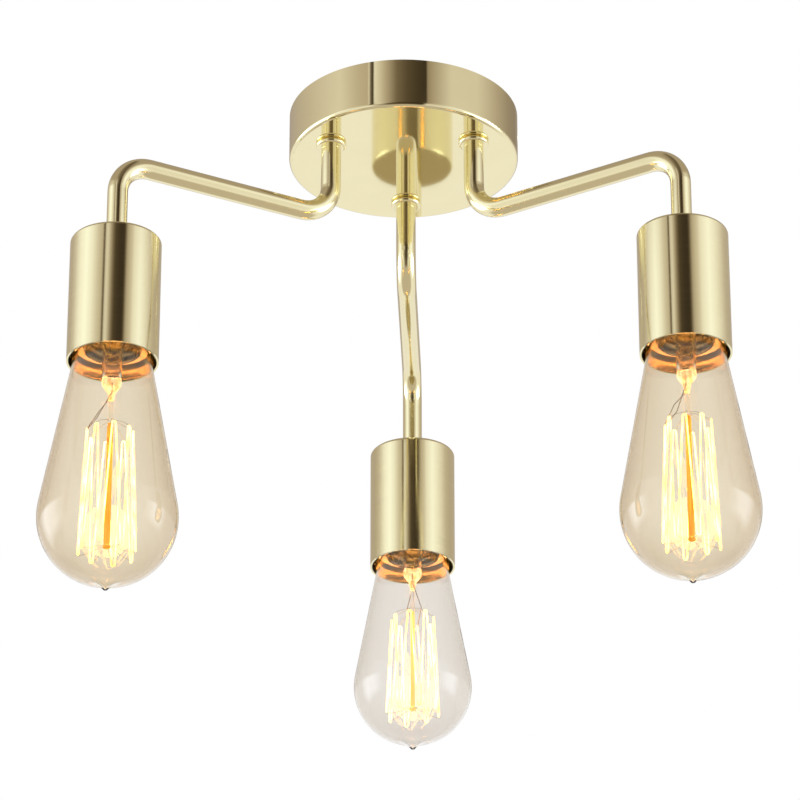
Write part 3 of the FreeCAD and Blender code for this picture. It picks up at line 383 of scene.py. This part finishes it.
def lit_pinch():
    """Pressed glass with painted cream and amber glints: a painted glow and painted highlights in
    its colour.
    """
    shader = Shader("stem_glass_lit_pinch")
    shader.set(Transmission_Weight=0.75, IOR=1.5, Roughness=0.06, Emission_Strength=0.5)
    glints = shader.noise(size_mm=1.6, detail=4.0, stretch=(1.0, 1.0, 0.4))
    glints = shader.spread(glints, low=0.0, high=1.0, start=0.4, end=0.62)
    # The glints are painted: painted glow in the emission, painted highlights in the base colour.
    shader.drive(Emission_Color=shader.mix(glints, (0.42, 0.15, 0.03), (1.0, 0.82, 0.52)),
                 Base_Color=shader.mix(glints, (0.9, 0.66, 0.42), (1.0, 0.92, 0.8)))
    shader.bump(shader.noise(size_mm=1.8), depth_mm=0.25)
    return shader.material


# Darker and lighter tone, roughness and, for metals, the size of the grain in millimetres.
METALS = {
    "contact_brass": ((0.68, 0.47, 0.2), (0.82, 0.6, 0.28), 0.2, 4.0),
    "cap_metal": ((0.62, 0.58, 0.5), (0.78, 0.74, 0.66), 0.22, 3.0),
    "zinc_steel": ((0.45, 0.46, 0.48), (0.62, 0.62, 0.6), 0.28, 2.0),
    "support_wire": ((0.25, 0.2, 0.17), (0.4, 0.33, 0.28), 0.3, 1.0),
}
MOULDINGS = {
    "ivory_plastic": ((0.72, 0.66, 0.52), (0.8, 0.74, 0.6), 0.3),
    "phenolic": ((0.72, 0.6, 0.44), (0.8, 0.68, 0.5), 0.3),
    "lead_sleeving": ((0.6, 0.58, 0.54), (0.72, 0.7, 0.66), 0.5),
    "black_glass": ((0.01, 0.008, 0.012), (0.03, 0.02, 0.03), 0.06),
}
MATERIALS = {
    "polished_brass": polished_brass(),
    "satin_brass": satin_brass(),
    "amber_glass": glass("amber_glass", (0.92, 0.87, 0.76), (0.60, 0.45, 0.28), "left"),
    "clear_glass": glass("clear_glass", (0.91, 0.885, 0.85), (0.74, 0.69, 0.62), "rear"),
    "stem_glass": stem_glass(),
    "tungsten": glowing_tungsten(),
    **{name: bare_metal(name, *finish) for name, finish in METALS.items()},
    **{name: moulded(name, *finish) for name, finish in MOULDINGS.items()},
}
# Glass with a painted glow in place of the filament's light: the rods' dim and bright glow
# colours, and the press's painted glints.
LIT_GLASS = {
    "amber_rod": lit_rod("stem_glass_lit_amber", (0.80, 0.22, 0.0), (1.0, 0.52, 0.02)),
    "clear_rod": lit_rod("stem_glass_lit_clear", (1.0, 0.60, 0.12), (1.0, 0.84, 0.30)),
    "pinch": lit_pinch(),
}


def dress_nodes():
    """Every CAD node takes the material of its own slot."""
    for piece in NODES.values():
        for spot in piece.material_slots:
            spot.material = MATERIALS[spot.material.name.split(".")[0]]


# ---------------------------------------------------------------- mesh helpers


def add_piece(name, mesh, slot, body):
    """A piece in its own slot's finish, riding on a body."""
    piece = bpy.data.objects.new(name, mesh)
    bpy.context.scene.collection.objects.link(piece)
    mesh.materials.append(MATERIALS[slot])
    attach(piece, body)
    return piece


def add_glass(name, mesh, slot, side):
    """A piece of a bulb's glass, which throws no shadow."""
    piece = add_piece(name, mesh, slot, f"{side}_bulb")
    piece.visible_shadow = False
    return piece


def mesh_data(mesh, name):
    """Ends the edit of a mesh."""
    data = bpy.data.meshes.new(name)
    mesh.to_mesh(data)
    mesh.free()
    return data


def smooth(data):
    for polygon in data.polygons:
        polygon.use_smooth = True
    return data


def axis_point(origin, turns, radius, drop):
    """A point round the bulb's axis; turns are counted from the X axis."""
    turn = 2 * math.pi * turns
    return origin + Vector((radius * math.cos(turn), radius * math.sin(turn), -drop)) * MM


def join_rings(mesh, rings, steps, closed):
    """Faces between rings of as many points as steps, or of one point on the axis."""
    pairs = list(zip(rings, rings[1:]))
    if closed:
        pairs.append((rings[-1], rings[0]))
    for high, low in pairs:
        for i in range(steps):
            j = (i + 1) % steps
            corners = [high[i % len(high)], high[j % len(high)]]
            corners += [low[j % len(low)], low[i % len(low)]]
            unique = list(dict.fromkeys(corners))
            if len(unique) > 2:
                mesh.faces.new(unique)
    bmesh.ops.recalc_face_normals(mesh, faces=mesh.faces)


def lathe(name, profile, origin, steps, closed=False):
    """Turns (radius, drop) points, in millimetres, about a vertical line through origin."""
    mesh = bmesh.new()
    rings = []
    for radius, drop in profile:
        count = steps if radius > ON_AXIS else 1
        rings.append([mesh.verts.new(axis_point(origin, i / steps, radius, drop))
                      for i in range(count)])
    join_rings(mesh, rings, steps, closed)
    return smooth(mesh_data(mesh, name))


def wires(name, paths, radius_mm, slot, body, resolution=3):
    """Round wires along paths of points, as one curve piece turned to a mesh."""
    curve = bpy.data.curves.new(name, "CURVE")
    curve.dimensions = "3D"
    curve.bevel_depth = radius_mm * MM
    curve.bevel_resolution = resolution
    curve.use_fill_caps = True
    for path in paths:
        spline = curve.splines.new("POLY")
        spline.points.add(len(path) - 1)
        for point, place in zip(spline.points, path):
            point.co = (*place, 1.0)
    source = bpy.data.objects.new(f"{name}.curve", curve)
    bpy.context.scene.collection.objects.link(source)
    bpy.context.view_layer.update()
    evaluated = source.evaluated_get(bpy.context.evaluated_depsgraph_get())
    mesh = bpy.data.meshes.new_from_object(evaluated)
    mesh.name = name
    mesh.materials.clear()
    bpy.data.objects.remove(source)
    return add_piece(name, smooth(mesh), slot, body)


def swept(centre, start, stop, steps):
    """Points of the arc round a centre from one spoke to another."""
    sweep = start.angle(stop)
    points = []
    for i in range(steps + 1):
        share = i / steps
        spoke = start * math.sin((1 - share) * sweep) + stop * math.sin(share * sweep)
        points.append(tuple(centre + spoke / math.sin(sweep)))
    return points


def rounded_corner(before, corner, after, radius, steps):
    """Points of the arc that rounds a corner of a profile."""
    here = Vector(corner)
    back = (Vector(before) - here).normalized()
    onward = (Vector(after) - here).normalized()
    half = back.angle(onward) / 2
    centre = here + (back + onward).normalized() * (radius / math.sin(half))
    start = here + back * (radius / math.tan(half)) - centre
    stop = here + onward * (radius / math.tan(half)) - centre
    return swept(centre, start, stop, steps)


# ---------------------------------------------------------------- bulbs


def lamp_origin(side):
    """The middle of the bulb's contact face, which the bulb's drops are measured from."""
    low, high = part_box(f"{side}_bulb_eyelet")
    return Vector(((low.x + high.x) / 2, (low.y + high.y) / 2, high.z))


def glass_size(side):
    """The bulb's ball radius and overall length, in millimetres."""
    low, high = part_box(f"{side}_bulb_glass")
    length = (lamp_origin(side).z - low.z) / MM
    return (high.x - low.x) / 2 / MM, length


def envelope_face(ball_r, ball_drop, neck_r, sink, shoulder_r):
    """One face of the envelope from the top of the neck to the end of the ball."""
    touch = ball_drop - ball_r * math.sin(FLANK_ANGLE)
    shoulder = NECK_END + SHOULDER_DROP + sink
    flank_r = ball_r * math.cos(FLANK_ANGLE)
    shoulder_at = (flank_r - (touch - shoulder) * math.tan(FLANK_ANGLE), shoulder)
    neck_end = (neck_r, NECK_END + sink)
    points = [
        (neck_r - NECK_INSET, NECK_TOP),
        (neck_r - NECK_INSET, THREAD_END - NECK_STEP_RISE),
        (neck_r, CAP_LEN - NECK_FULL_RISE),
        (neck_r, NECK_END + sink - NECK_CORNER_RISE),
    ]
    points += rounded_corner((neck_r, NECK_TOP), neck_end, shoulder_at, NECK_CORNER_R, steps=4)
    points += rounded_corner(neck_end, shoulder_at, (flank_r, touch), shoulder_r, steps=10)
    points += [(flank_r - (touch - drop) * math.tan(FLANK_ANGLE), drop)
               for drop in FLANK_DROPS if drop < touch - FLANK_CLEAR]
    return points + ball_face(ball_r, ball_drop, steps=64)


def ball_face(ball_r, ball_drop, steps):
    """Points of the ball from the flank down to the axis."""
    start = -FLANK_ANGLE
    turns = [start + (math.pi / 2 - start) * i / steps for i in range(steps + 1)]
    return [(ball_r * math.cos(turn), ball_drop + ball_r * math.sin(turn)) for turn in turns]


def drawn_tip(ball_r, ball_drop, root_r, tip_r, length):
    """The concave flare from the ball down to the sealed tip, then the tip's small bead."""
    root = Vector((root_r, ball_drop + math.sqrt(ball_r**2 - root_r**2)))
    tip = Vector((tip_r, length - PIP_BEAD_TOP))
    chord = tip - root
    across = Vector((chord.y, -chord.x)).normalized()
    half = chord.length / 2
    centre = (root + tip) / 2 + across * math.sqrt(PIP_FLARE_R**2 - half**2)
    flare = swept(centre, root - centre, tip - centre, steps=16)
    return flare[1:] + [(tip_r * share, length - height) for share, height in PIP_BEAD]


def cut_ball(face, ball_drop, root_r):
    """The part of a face above the drawn tip's root."""
    return [point for point in face if point[1] < ball_drop or point[0] > root_r + ROOT_MARGIN]


def make_envelope(side):
    ball_r, length = glass_size(side)
    ball_drop = length - PIP_LEN - ball_r
    outer = envelope_face(ball_r, ball_drop, NECK_R, 0.0, SHOULDER_R)
    inner_r = ball_r - GLASS_WALL
    inner = envelope_face(inner_r, ball_drop, NECK_R - GLASS_WALL, GLASS_WALL,
                          SHOULDER_R - GLASS_WALL)
    outer = cut_ball(outer, ball_drop, PIP_ROOT_R)
    outer += drawn_tip(ball_r, ball_drop, PIP_ROOT_R, PIP_R, length)
    inner = cut_ball(inner, ball_drop, INNER_ROOT_R)
    inner += drawn_tip(inner_r, ball_drop, INNER_ROOT_R, INNER_TIP_R, length - INNER_TIP_GAP)
    name = f"{side}_envelope"
    mesh = lathe(name, inner[::-1] + outer, lamp_origin(side), ENVELOPE_STEPS)
    piece = add_glass(name, mesh, "clear_glass" if side == "rear" else "amber_glass", side)
    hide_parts(f"{side}_bulb_glass")


def thread_radius(turn, drop):
    """The rolled right-hand thread: it rises out of the cone and runs out into the plain rim."""
    wave = 0.5 + 0.5 * math.cos(2 * math.pi * drop / THREAD_PITCH + turn)
    full = ROOT_R + (CREST_R - ROOT_R) * wave**THREAD_FULLNESS
    plain = ROOT_R if drop < (THREAD_START + THREAD_END) / 2 else CREST_R
    share = min(drop - THREAD_START, THREAD_END - drop, THREAD_RUN_OUT) / THREAD_RUN_OUT
    return plain + (full - plain) * share


def cap_face(sink):
    """Rings of (radius, drop) for one face of the screw cap, set in from its outside by sink."""
    cone = [(CAP_TOP_R - sink / 2, CAP_TOP + sink),
            (ROOT_R - CONE_INSET - sink, THREAD_START - CONE_RISE + sink)]
    rim = [(CREST_R - sink, THREAD_END + RIM_DROP), (CREST_R - sink, CAP_LEN)]
    drops = [THREAD_START + (THREAD_END - THREAD_START) * i / CAP_ROWS
             for i in range(CAP_ROWS + 1)]
    turns = [2 * math.pi * i / CAP_STEPS for i in range(CAP_STEPS)]
    thread = [[(thread_radius(turn, drop) - sink, drop) for turn in turns] for drop in drops]
    return [[at] * CAP_STEPS for at in cone] + thread + [[at] * CAP_STEPS for at in rim]


def make_screw_cap(side):
    """The sheet-metal screw cap with its rolled thread."""
    origin = lamp_origin(side)
    mesh = bmesh.new()
    outside, inside = (
        [[mesh.verts.new(axis_point(origin, i / CAP_STEPS, radius, drop))
          for i, (radius, drop) in enumerate(ring)]
         for ring in cap_face(sink)]
        for sink in (0.0, CAP_SHEET)
    )
    join_rings(mesh, outside + inside[::-1], CAP_STEPS, closed=True)
    name = f"{side}_screw_cap"
    piece = add_piece(name, smooth(mesh_data(mesh, name)), "cap_metal", f"{side}_bulb")
    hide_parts(f"{side}_bulb_cap")


def cage_ends(side):
    """The drops of the filament cage's top and base."""
    base = glass_size(side)[1] - CAGE_CLEAR
    return base - CAGE_LEN[side], base


def cage_turns(side):
    """Where each top hook and the bottom hook after it stand round the axis, in turns."""
    start = MOUNT_TURN[side]
    return [(start + loop / CAGE_LOOPS, start + (loop + 0.5) / CAGE_LOOPS)
            for loop in range(CAGE_LOOPS)]


def hook(origin, turns, radius, drop, way):
    """A half circle of wire over a support hook; way is 1 where it opens downwards."""
    middle = axis_point(origin, turns, radius, drop)
    across = Vector((-math.sin(2 * math.pi * turns), math.cos(2 * math.pi * turns), 0)) * MM
    points = []
    for i in range(HOOK_STEPS + 1):
        turn = math.pi * i / HOOK_STEPS
        lift = Vector((0, 0, way * HOOK_R * math.sin(turn) * HOOK_HEIGHT * MM))
        points.append(middle - across * (HOOK_R * math.cos(turn)) + lift)
    return points


def make_filament(side):
    """One wire that zigzags between the top and bottom hooks, and never closes."""
    chance = random.Random(f"{side} filament")
    origin = lamp_origin(side)
    top, base = cage_ends(side)
    path = []
    for loop, (here, between) in enumerate(cage_turns(side)):
        high = top + HOOK_R + chance.uniform(*HOOK_SCATTER)
        low = base - HOOK_R - chance.uniform(*HOOK_SCATTER)
        path += hook(origin, here, CAGE_TOP_R, high, 1)[0 if loop else FIRST_HOOK_FROM:]
        path += hook(origin, between, CAGE_BASE_R, low, -1)
    path += hook(origin, MOUNT_TURN[side] + 1.0, CAGE_TOP_R, top + HOOK_R, 1)[:LAST_HOOK_TO]
    piece = wires(f"{side}_glowing_wire", [path], FILAMENT_R, "tungsten", f"{side}_bulb")
    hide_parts(f"{side}_bulb_filament")


def make_lead_ins(side):
    """Two wires from the press to the ends of the filament."""
    origin = lamp_origin(side)
    top = cage_ends(side)[0]
    pinch = top - PINCH_CLEAR
    paths = []
    for way, edge in LEAD_INS:
        leave = PRESS_TURN[side] + edge
        bow = MOUNT_TURN[side] + way * LEAD_IN_BOW_TURN
        end = MOUNT_TURN[side] + way * LEAD_IN_END_TURN
        route = ((leave, pinch, LEAD_IN_FOOT), (leave, pinch, LEAD_IN_EXIT),
                 (bow, top, LEAD_IN_BOW), (end, top, LEAD_IN_END))
        paths.append([axis_point(origin, turns, radius, level + drop)
                      for turns, level, (radius, drop) in route])
    wires(f"{side}_lead_in_wires", paths, LEAD_IN_R, "support_wire", f"{side}_bulb", 2)


def support(origin, turns, radius, hook_drop, root_drop, way):
    """A wire from a button out to its hook, bowed a little."""
    bow_drop = (root_drop + hook_drop) / 2 - way * SPOKE_BOW
    return [
        axis_point(origin, turns, BUTTON_R * SPOKE_ROOT, root_drop),
        axis_point(origin, turns, BUTTON_R + SPOKE_STRAIGHT, root_drop),
        axis_point(origin, turns, radius * SPOKE_BOW_AT, bow_drop),
        axis_point(origin, turns, radius, hook_drop - way * HOOK_R * SPOKE_HOOKED),
    ]


def make_supports(side):
    """Fine hook wires from the rod's two buttons; the lead-ins hold the filament's ends."""
    origin = lamp_origin(side)
    top, base = cage_ends(side)
    paths = []
    for loop, (here, between) in enumerate(cage_turns(side)):
        if loop:
            paths.append(support(origin, here, CAGE_TOP_R, top + HOOK_R, top - SPOKE_PITCH, 1))
        paths.append(support(origin, between, CAGE_BASE_R, base - HOOK_R, base - SPOKE_PITCH, -1))
    piece = wires(f"{side}_support_wires", paths, SPOKE_R, "support_wire", f"{side}_bulb", 1)
    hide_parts(f"{side}_filament_supports")


def make_stem(side):
    """The glass mount: a flared tube with a pinched end, and the long rod with its buttons."""
    origin = lamp_origin(side)
    top, base = cage_ends(side)
    pinch = top - PINCH_CLEAR
    flare_r = NECK_R - NECK_INSET - GLASS_WALL
    lip_in, lip_drop = STEM_LIP
    flare = [(flare_r, NECK_TOP), (flare_r - lip_in, NECK_TOP + lip_drop)]
    flare += [(STEM_R + past, NECK_TOP + drop) for past, drop in STEM_FLARE]
    close = [(STEM_R * share, pinch - PINCH_LEN + drop) for share, drop in STEM_CLOSE]
    inside = [(radius - STEM_WALL, drop) for radius, drop in flare]
    inside += [(radius - STEM_WALL, drop - STEM_END_WALL) for radius, drop in close]
    profile = inside[::-1] + flare + close
    mesh = lathe(f"{side}_mount", profile, origin, STEM_STEPS, closed=True)
    piece = add_glass(f"{side}_mount", mesh, "stem_glass", side)
    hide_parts(f"{side}_bulb_stem")
    make_rod(side, origin, pinch, top - SPOKE_PITCH, base - SPOKE_PITCH)
    make_press(side, origin, pinch)


def button_face(drop, breadth, height, steps):
    """Points round a button, numbered in eighths of a half turn from its top."""
    turns = [math.pi * i / 8 for i in steps]
    return [(math.sin(turn) * breadth, drop - math.cos(turn) * height) for turn in turns]


def make_rod(side, origin, pinch, upper, lower):
    """The rod through the cage; its lit part has a painted glow in place of the light of the
    filament round it.
    """
    waist, waist_drop = ROD_WAIST
    neck = [(ROD_R * share, pinch + drop) for share, drop in ROD_ROOT]
    neck += [(ROD_R * waist, upper + waist_drop), (ROD_R, upper - BUTTON_R)]
    neck += button_face(upper, BUTTON_R, BUTTON_R, range(3, 9))
    mesh = lathe(f"{side}_rod_neck", neck, origin, ROD_STEPS)
    add_glass(f"{side}_rod_neck", mesh, "stem_glass", side)
    radius = ROD_R if side == "rear" else GLOW_ROD_R
    lit = [(radius * share, upper + drop) for share, drop in LIT_ROD_TOP]
    lit += [(radius * share, lower + drop) for share, drop in LIT_ROD_END]
    lit += button_face(lower, BUTTON_R * FOOT_BREADTH, BUTTON_R * FOOT_HEIGHT, range(3, 8))
    lit += [(0.0, lower + BUTTON_R * FOOT_END)]
    mesh = lathe(f"{side}_lit_rod", lit, origin, ROD_STEPS)
    piece = add_glass(f"{side}_lit_rod", mesh, "stem_glass", side)
    piece.data.materials[0] = LIT_GLASS["clear_rod" if side == "rear" else "amber_rod"]


def make_press(side, origin, pinch):
    """The glass press that grips the two lead-in wires: broad and flat, then drawn to the rod."""
    profile = [(radius, pinch + drop) for radius, drop in PRESS_PROFILE]
    data = lathe(f"{side}_pinch", profile, Vector((0, 0, 0)), PRESS_STEPS)
    flat = Matrix.Diagonal((PRESS_FLATNESS, 1.0, 1.0, 1.0))
    turned = Matrix.Rotation(2 * math.pi * PRESS_TURN[side], 4, "Z")
    data.transform(Matrix.Translation(origin) @ turned @ flat)
    piece = add_glass(f"{side}_pinch", data, "stem_glass", side)
    piece.data.materials[0] = LIT_GLASS["pinch"]


# ---------------------------------------------------------------- studio


# What stands round the light, as (azimuth in degrees, brightness): azimuth 0 is the front, where
# the eye is, and 90 the right. From below: the floor, the low backdrop, the soft boxes beside the
# bulbs, what the cups see, what the canopy's wall sees, and the dim room above.
FLOOR_BAND = [(-180, 0.6), (180, 0.6)]
BACKDROP_BAND = [(-180, 1.0), (-60, 1.0), (-29, 0.9), (-27, 0.7), (-12, 0.2), (20, 0.12),
                 (23, 0.8), (60, 1.0), (180, 1.0)]
BULB_BAND = [(-180, 0.95), (-122, 0.95), (-104, 4.0), (-86, 4.0), (-64, 0.95), (-29, 0.9),
             (-27, 0.7), (-12, 0.12), (20, 0.05), (23, 0.8), (58, 0.95), (78, 4.0), (92, 4.0),
             (110, 0.95), (180, 0.95)]
CUP_BAND = [(-180, 0.5), (-150, 0.5), (-125, 0.53), (-108, 0.66), (-88, 1.05), (-70, 1.22),
            (-55, 1.05), (-41, 0.74), (-33, 0.62), (-30.5, 0.5), (-29.5, 0.14), (-26.5, 0.1),
            (-25, 0.75), (-20, 0.85), (-14, 0.5), (-8, 0.2), (-3, 0.08), (7, 0.05), (17, 0.045),
            (20.5, 0.12), (26, 0.5), (33, 0.66), (38, 0.74), (45, 0.98), (64, 1.18), (85, 0.95),
            (111, 0.62), (130, 0.53), (180, 0.5)]
CANOPY_BAND = [(-180, 0.42), (-160, 0.42), (-110, 0.61), (-64, 0.78), (-43, 0.58), (-33.5, 0.53),
               (-32.8, 0.8), (-31.4, 0.75), (-30.8, 0.12), (-27.8, 0.06), (-27.2, 0.9),
               (-24, 0.78), (-16, 0.52), (-5, 0.2), (5, 0.11), (15, 0.07), (24, 0.05),
               (25.3, 0.32), (28, 0.4), (50, 0.76), (79, 0.75), (108, 0.5), (130, 0.36),
               (150, 0.3), (180, 0.42)]
ROOM_BAND = [(-180, 0.42), (-40, 0.45), (-10, 0.2), (20, 0.12), (40, 0.45), (180, 0.42)]
BANDS = (FLOOR_BAND, BACKDROP_BAND, BULB_BAND, CUP_BAND, CANOPY_BAND, ROOM_BAND)
# The heights, in metres, between which each band passes into the next one.
BAND_EDGES = ((-0.86, -0.66), (-0.56, -0.30), (0.02, 0.14), (0.50, 0.518), (0.60, 0.70))
STUDIO_R = 1.1

# How much green and blue a black wall would lose, and how cool the brightest box can be.
GREEN_LOSS = 0.27
BLUE_LOSS = 0.55
COOLEST = -0.25

# Floor in metres, and the world's strength as light, where 1 is what the eye sees.
FLOOR_HALF = 12.0
FLOOR_Z = -3.2
FLOOR_COLOUR = (0.85, 0.85, 0.85, 1.0)
WHITE = (1.0, 1.0, 1.0, 1.0)
WORLD_LIGHT = 0.55

# Soft boxes: name, place in metres and power in watts; their size and what they point at.
SOFT_BOXES = (("soft_left", (-1.4, -0.8, 0.1), 12.0), ("soft_right", (1.4, -0.8, 0.1), 10.0))
SOFT_BOX_SIZE = (0.8, 1.0)
SOFT_BOX_AIM = Vector((0, 0, -0.15))

# The filament's light: a fill near the cage's top and a glare in its middle.
FILL_COLOUR = (1.0, 0.45, 0.15)
FILL_POWER = 0.4
FILL_R = 6.0
FILL_DROP = 6.0
GLARE_COLOUR = (1.0, 0.62, 0.08)
GLARE_POWER = 0.12
GLARE_R = 10.0


def ramp_stops(ramp, stops):
    """Sets a colour ramp from a band's stops: dim ones are brown, bright ones a little cool."""
    elements = ramp.color_ramp.elements
    while len(elements) > 1:
        elements.remove(elements[-1])
    for i, (azimuth, level) in enumerate(stops):
        position = (azimuth + 180.0) / 360.0
        element = elements[0] if i == 0 else elements.new(position)
        element.position = position
        warmth = max(1.0 - level, COOLEST)
        green, blue = 1 - GREEN_LOSS * warmth, 1 - BLUE_LOSS * warmth
        element.color = (level, level * green, level * blue, 1.0)


def screen_material():
    """The bands by azimuth, each passing into the next one with height."""
    material = bpy.data.materials.new("studio_screen")
    material.use_nodes = True
    material.node_tree.nodes.clear()
    nodes = NodeTree(material.node_tree)
    place = nodes.add("ShaderNodeTexCoord")
    split = nodes.add("ShaderNodeSeparateXYZ")
    nodes.link(place.outputs["Object"], split.inputs[0])
    to_front = nodes.maths("MULTIPLY", split.outputs["Y"], -1.0)
    azimuth = nodes.maths("ARCTAN2", split.outputs["X"], to_front)
    share = nodes.spread(azimuth, 0.0, 1.0, start=-math.pi, end=math.pi)
    levels = []
    for stops in BANDS:
        ramp = nodes.add("ShaderNodeValToRGB")
        ramp_stops(ramp, stops)
        nodes.link(share, ramp.inputs["Fac"])
        levels.append(ramp.outputs["Color"])
    level = levels[0]
    for following, (start, end) in zip(levels[1:], BAND_EDGES):
        passed = nodes.spread(split.outputs["Z"], 0.0, 1.0, start, end,
                              interpolation_type="SMOOTHSTEP")
        level = nodes.mix(passed, level, following)
    glow = nodes.add("ShaderNodeEmission")
    nodes.link(level, glow.inputs["Color"])
    output = nodes.add("ShaderNodeOutputMaterial")
    nodes.link(glow.outputs[0], output.inputs["Surface"])
    return material


def make_studio():
    """A screen round the light that only its gloss sees: soft boxes, dim ceiling, dark gap."""
    mesh = bmesh.new()
    bmesh.ops.create_uvsphere(mesh, u_segments=96, v_segments=48, radius=STUDIO_R)
    screen = bpy.data.objects.new("studio_screen", mesh_data(mesh, "studio_screen"))
    bpy.context.scene.collection.objects.link(screen)
    screen.data.materials.append(screen_material())
    screen.visible_camera = False
    screen.visible_diffuse = False
    screen.visible_shadow = False
    screen.visible_transmission = False


def make_floor():
    """A plain pale floor well below the light."""
    mesh = bmesh.new()
    bmesh.ops.create_grid(mesh, x_segments=1, y_segments=1, size=FLOOR_HALF)
    floor = bpy.data.objects.new("floor", mesh_data(mesh, "floor"))
    floor.location.z = FLOOR_Z
    bpy.context.scene.collection.objects.link(floor)
    shader = Shader("floor")
    shader.set(Base_Color=FLOOR_COLOUR, Roughness=0.9)
    floor.data.materials.append(shader.material)


def make_world():
    """White where it is seen, mirrored or looked at through glass, and softer as light."""
    world = bpy.data.worlds.new("studio")
    world.use_nodes = True
    nodes = NodeTree(world.node_tree)
    rays = nodes.add("ShaderNodeLightPath")
    seen = rays.outputs["Is Camera Ray"]
    for name in ("Is Glossy Ray", "Is Transmission Ray"):
        seen = nodes.maths("MAXIMUM", seen, rays.outputs[name])
    background = world.node_tree.nodes["Background"]
    background.inputs["Color"].default_value = WHITE
    strength = nodes.spread(seen, WORLD_LIGHT, 1.0, start=0.0, end=1.0)
    nodes.link(strength, background.inputs["Strength"])
    bpy.context.scene.world = world


def aim(thing, place, target):
    """Puts a lamp or a camera at a place and points it at a target."""
    thing.location = place
    thing.rotation_mode = "QUATERNION"
    thing.rotation_quaternion = (target - Vector(place)).to_track_quat("-Z", "Y")


def add_lamp(name, kind, power):
    """A lamp that isn't seen itself, neither straight on nor through glass."""
    lamp = bpy.data.objects.new(name, bpy.data.lights.new(name, kind))
    lamp.data.energy = power
    lamp.visible_camera = False
    lamp.visible_transmission = False
    bpy.context.scene.collection.objects.link(lamp)
    return lamp


def soft_box(name, place, power):
    lamp = add_lamp(name, "AREA", power)
    lamp.data.shape = "RECTANGLE"
    lamp.data.size, lamp.data.size_y = SOFT_BOX_SIZE
    lamp.visible_glossy = False
    aim(lamp, place, SOFT_BOX_AIM)


def glow_lamp(name, origin, drop, colour, power, radius_mm):
    """A small round lamp on a bulb's axis."""
    lamp = add_lamp(name, "POINT", power)
    lamp.data.color = colour
    lamp.data.shadow_soft_size = radius_mm * MM
    lamp.location = axis_point(origin, 0.0, 0.0, drop)
    return lamp


def filament_glow(side):
    """The filament's light: orange up into the cup, and yellow in the polished arms."""
    top, base = cage_ends(side)
    origin = lamp_origin(side)
    fill = glow_lamp(f"{side}_glow", origin, top + FILL_DROP, FILL_COLOUR, FILL_POWER, FILL_R)
    fill.visible_glossy = False
    glare = glow_lamp(f"{side}_glare", origin, (top + base) / 2, GLARE_COLOUR, GLARE_POWER,
                      GLARE_R)
    glare.visible_diffuse = False


def make_camera():
    data = bpy.data.cameras.new("camera")
    data.lens = LENS_MM
    data.sensor_width = SENSOR_MM
    data.clip_end = FAR_CLIP
    camera = bpy.data.objects.new("camera", data)
    aim(camera, EYE, TARGET)
    bpy.context.scene.collection.objects.link(camera)
    bpy.context.scene.camera = camera


dress_nodes()
for lamp_side in LAMPS:
    make_envelope(lamp_side)
    make_screw_cap(lamp_side)
    make_stem(lamp_side)
    make_filament(lamp_side)
    make_lead_ins(lamp_side)
    make_supports(lamp_side)
make_studio()
make_floor()
make_world()
for box in SOFT_BOXES:
    soft_box(*box)
for lamp_side in LAMPS:
    filament_glow(lamp_side)
make_camera()

scene = bpy.context.scene
scene.view_settings.view_transform = "Standard"
scene.cycles.max_bounces = 16
scene.cycles.transmission_bounces = 14
scene.cycles.glossy_bounces = 8
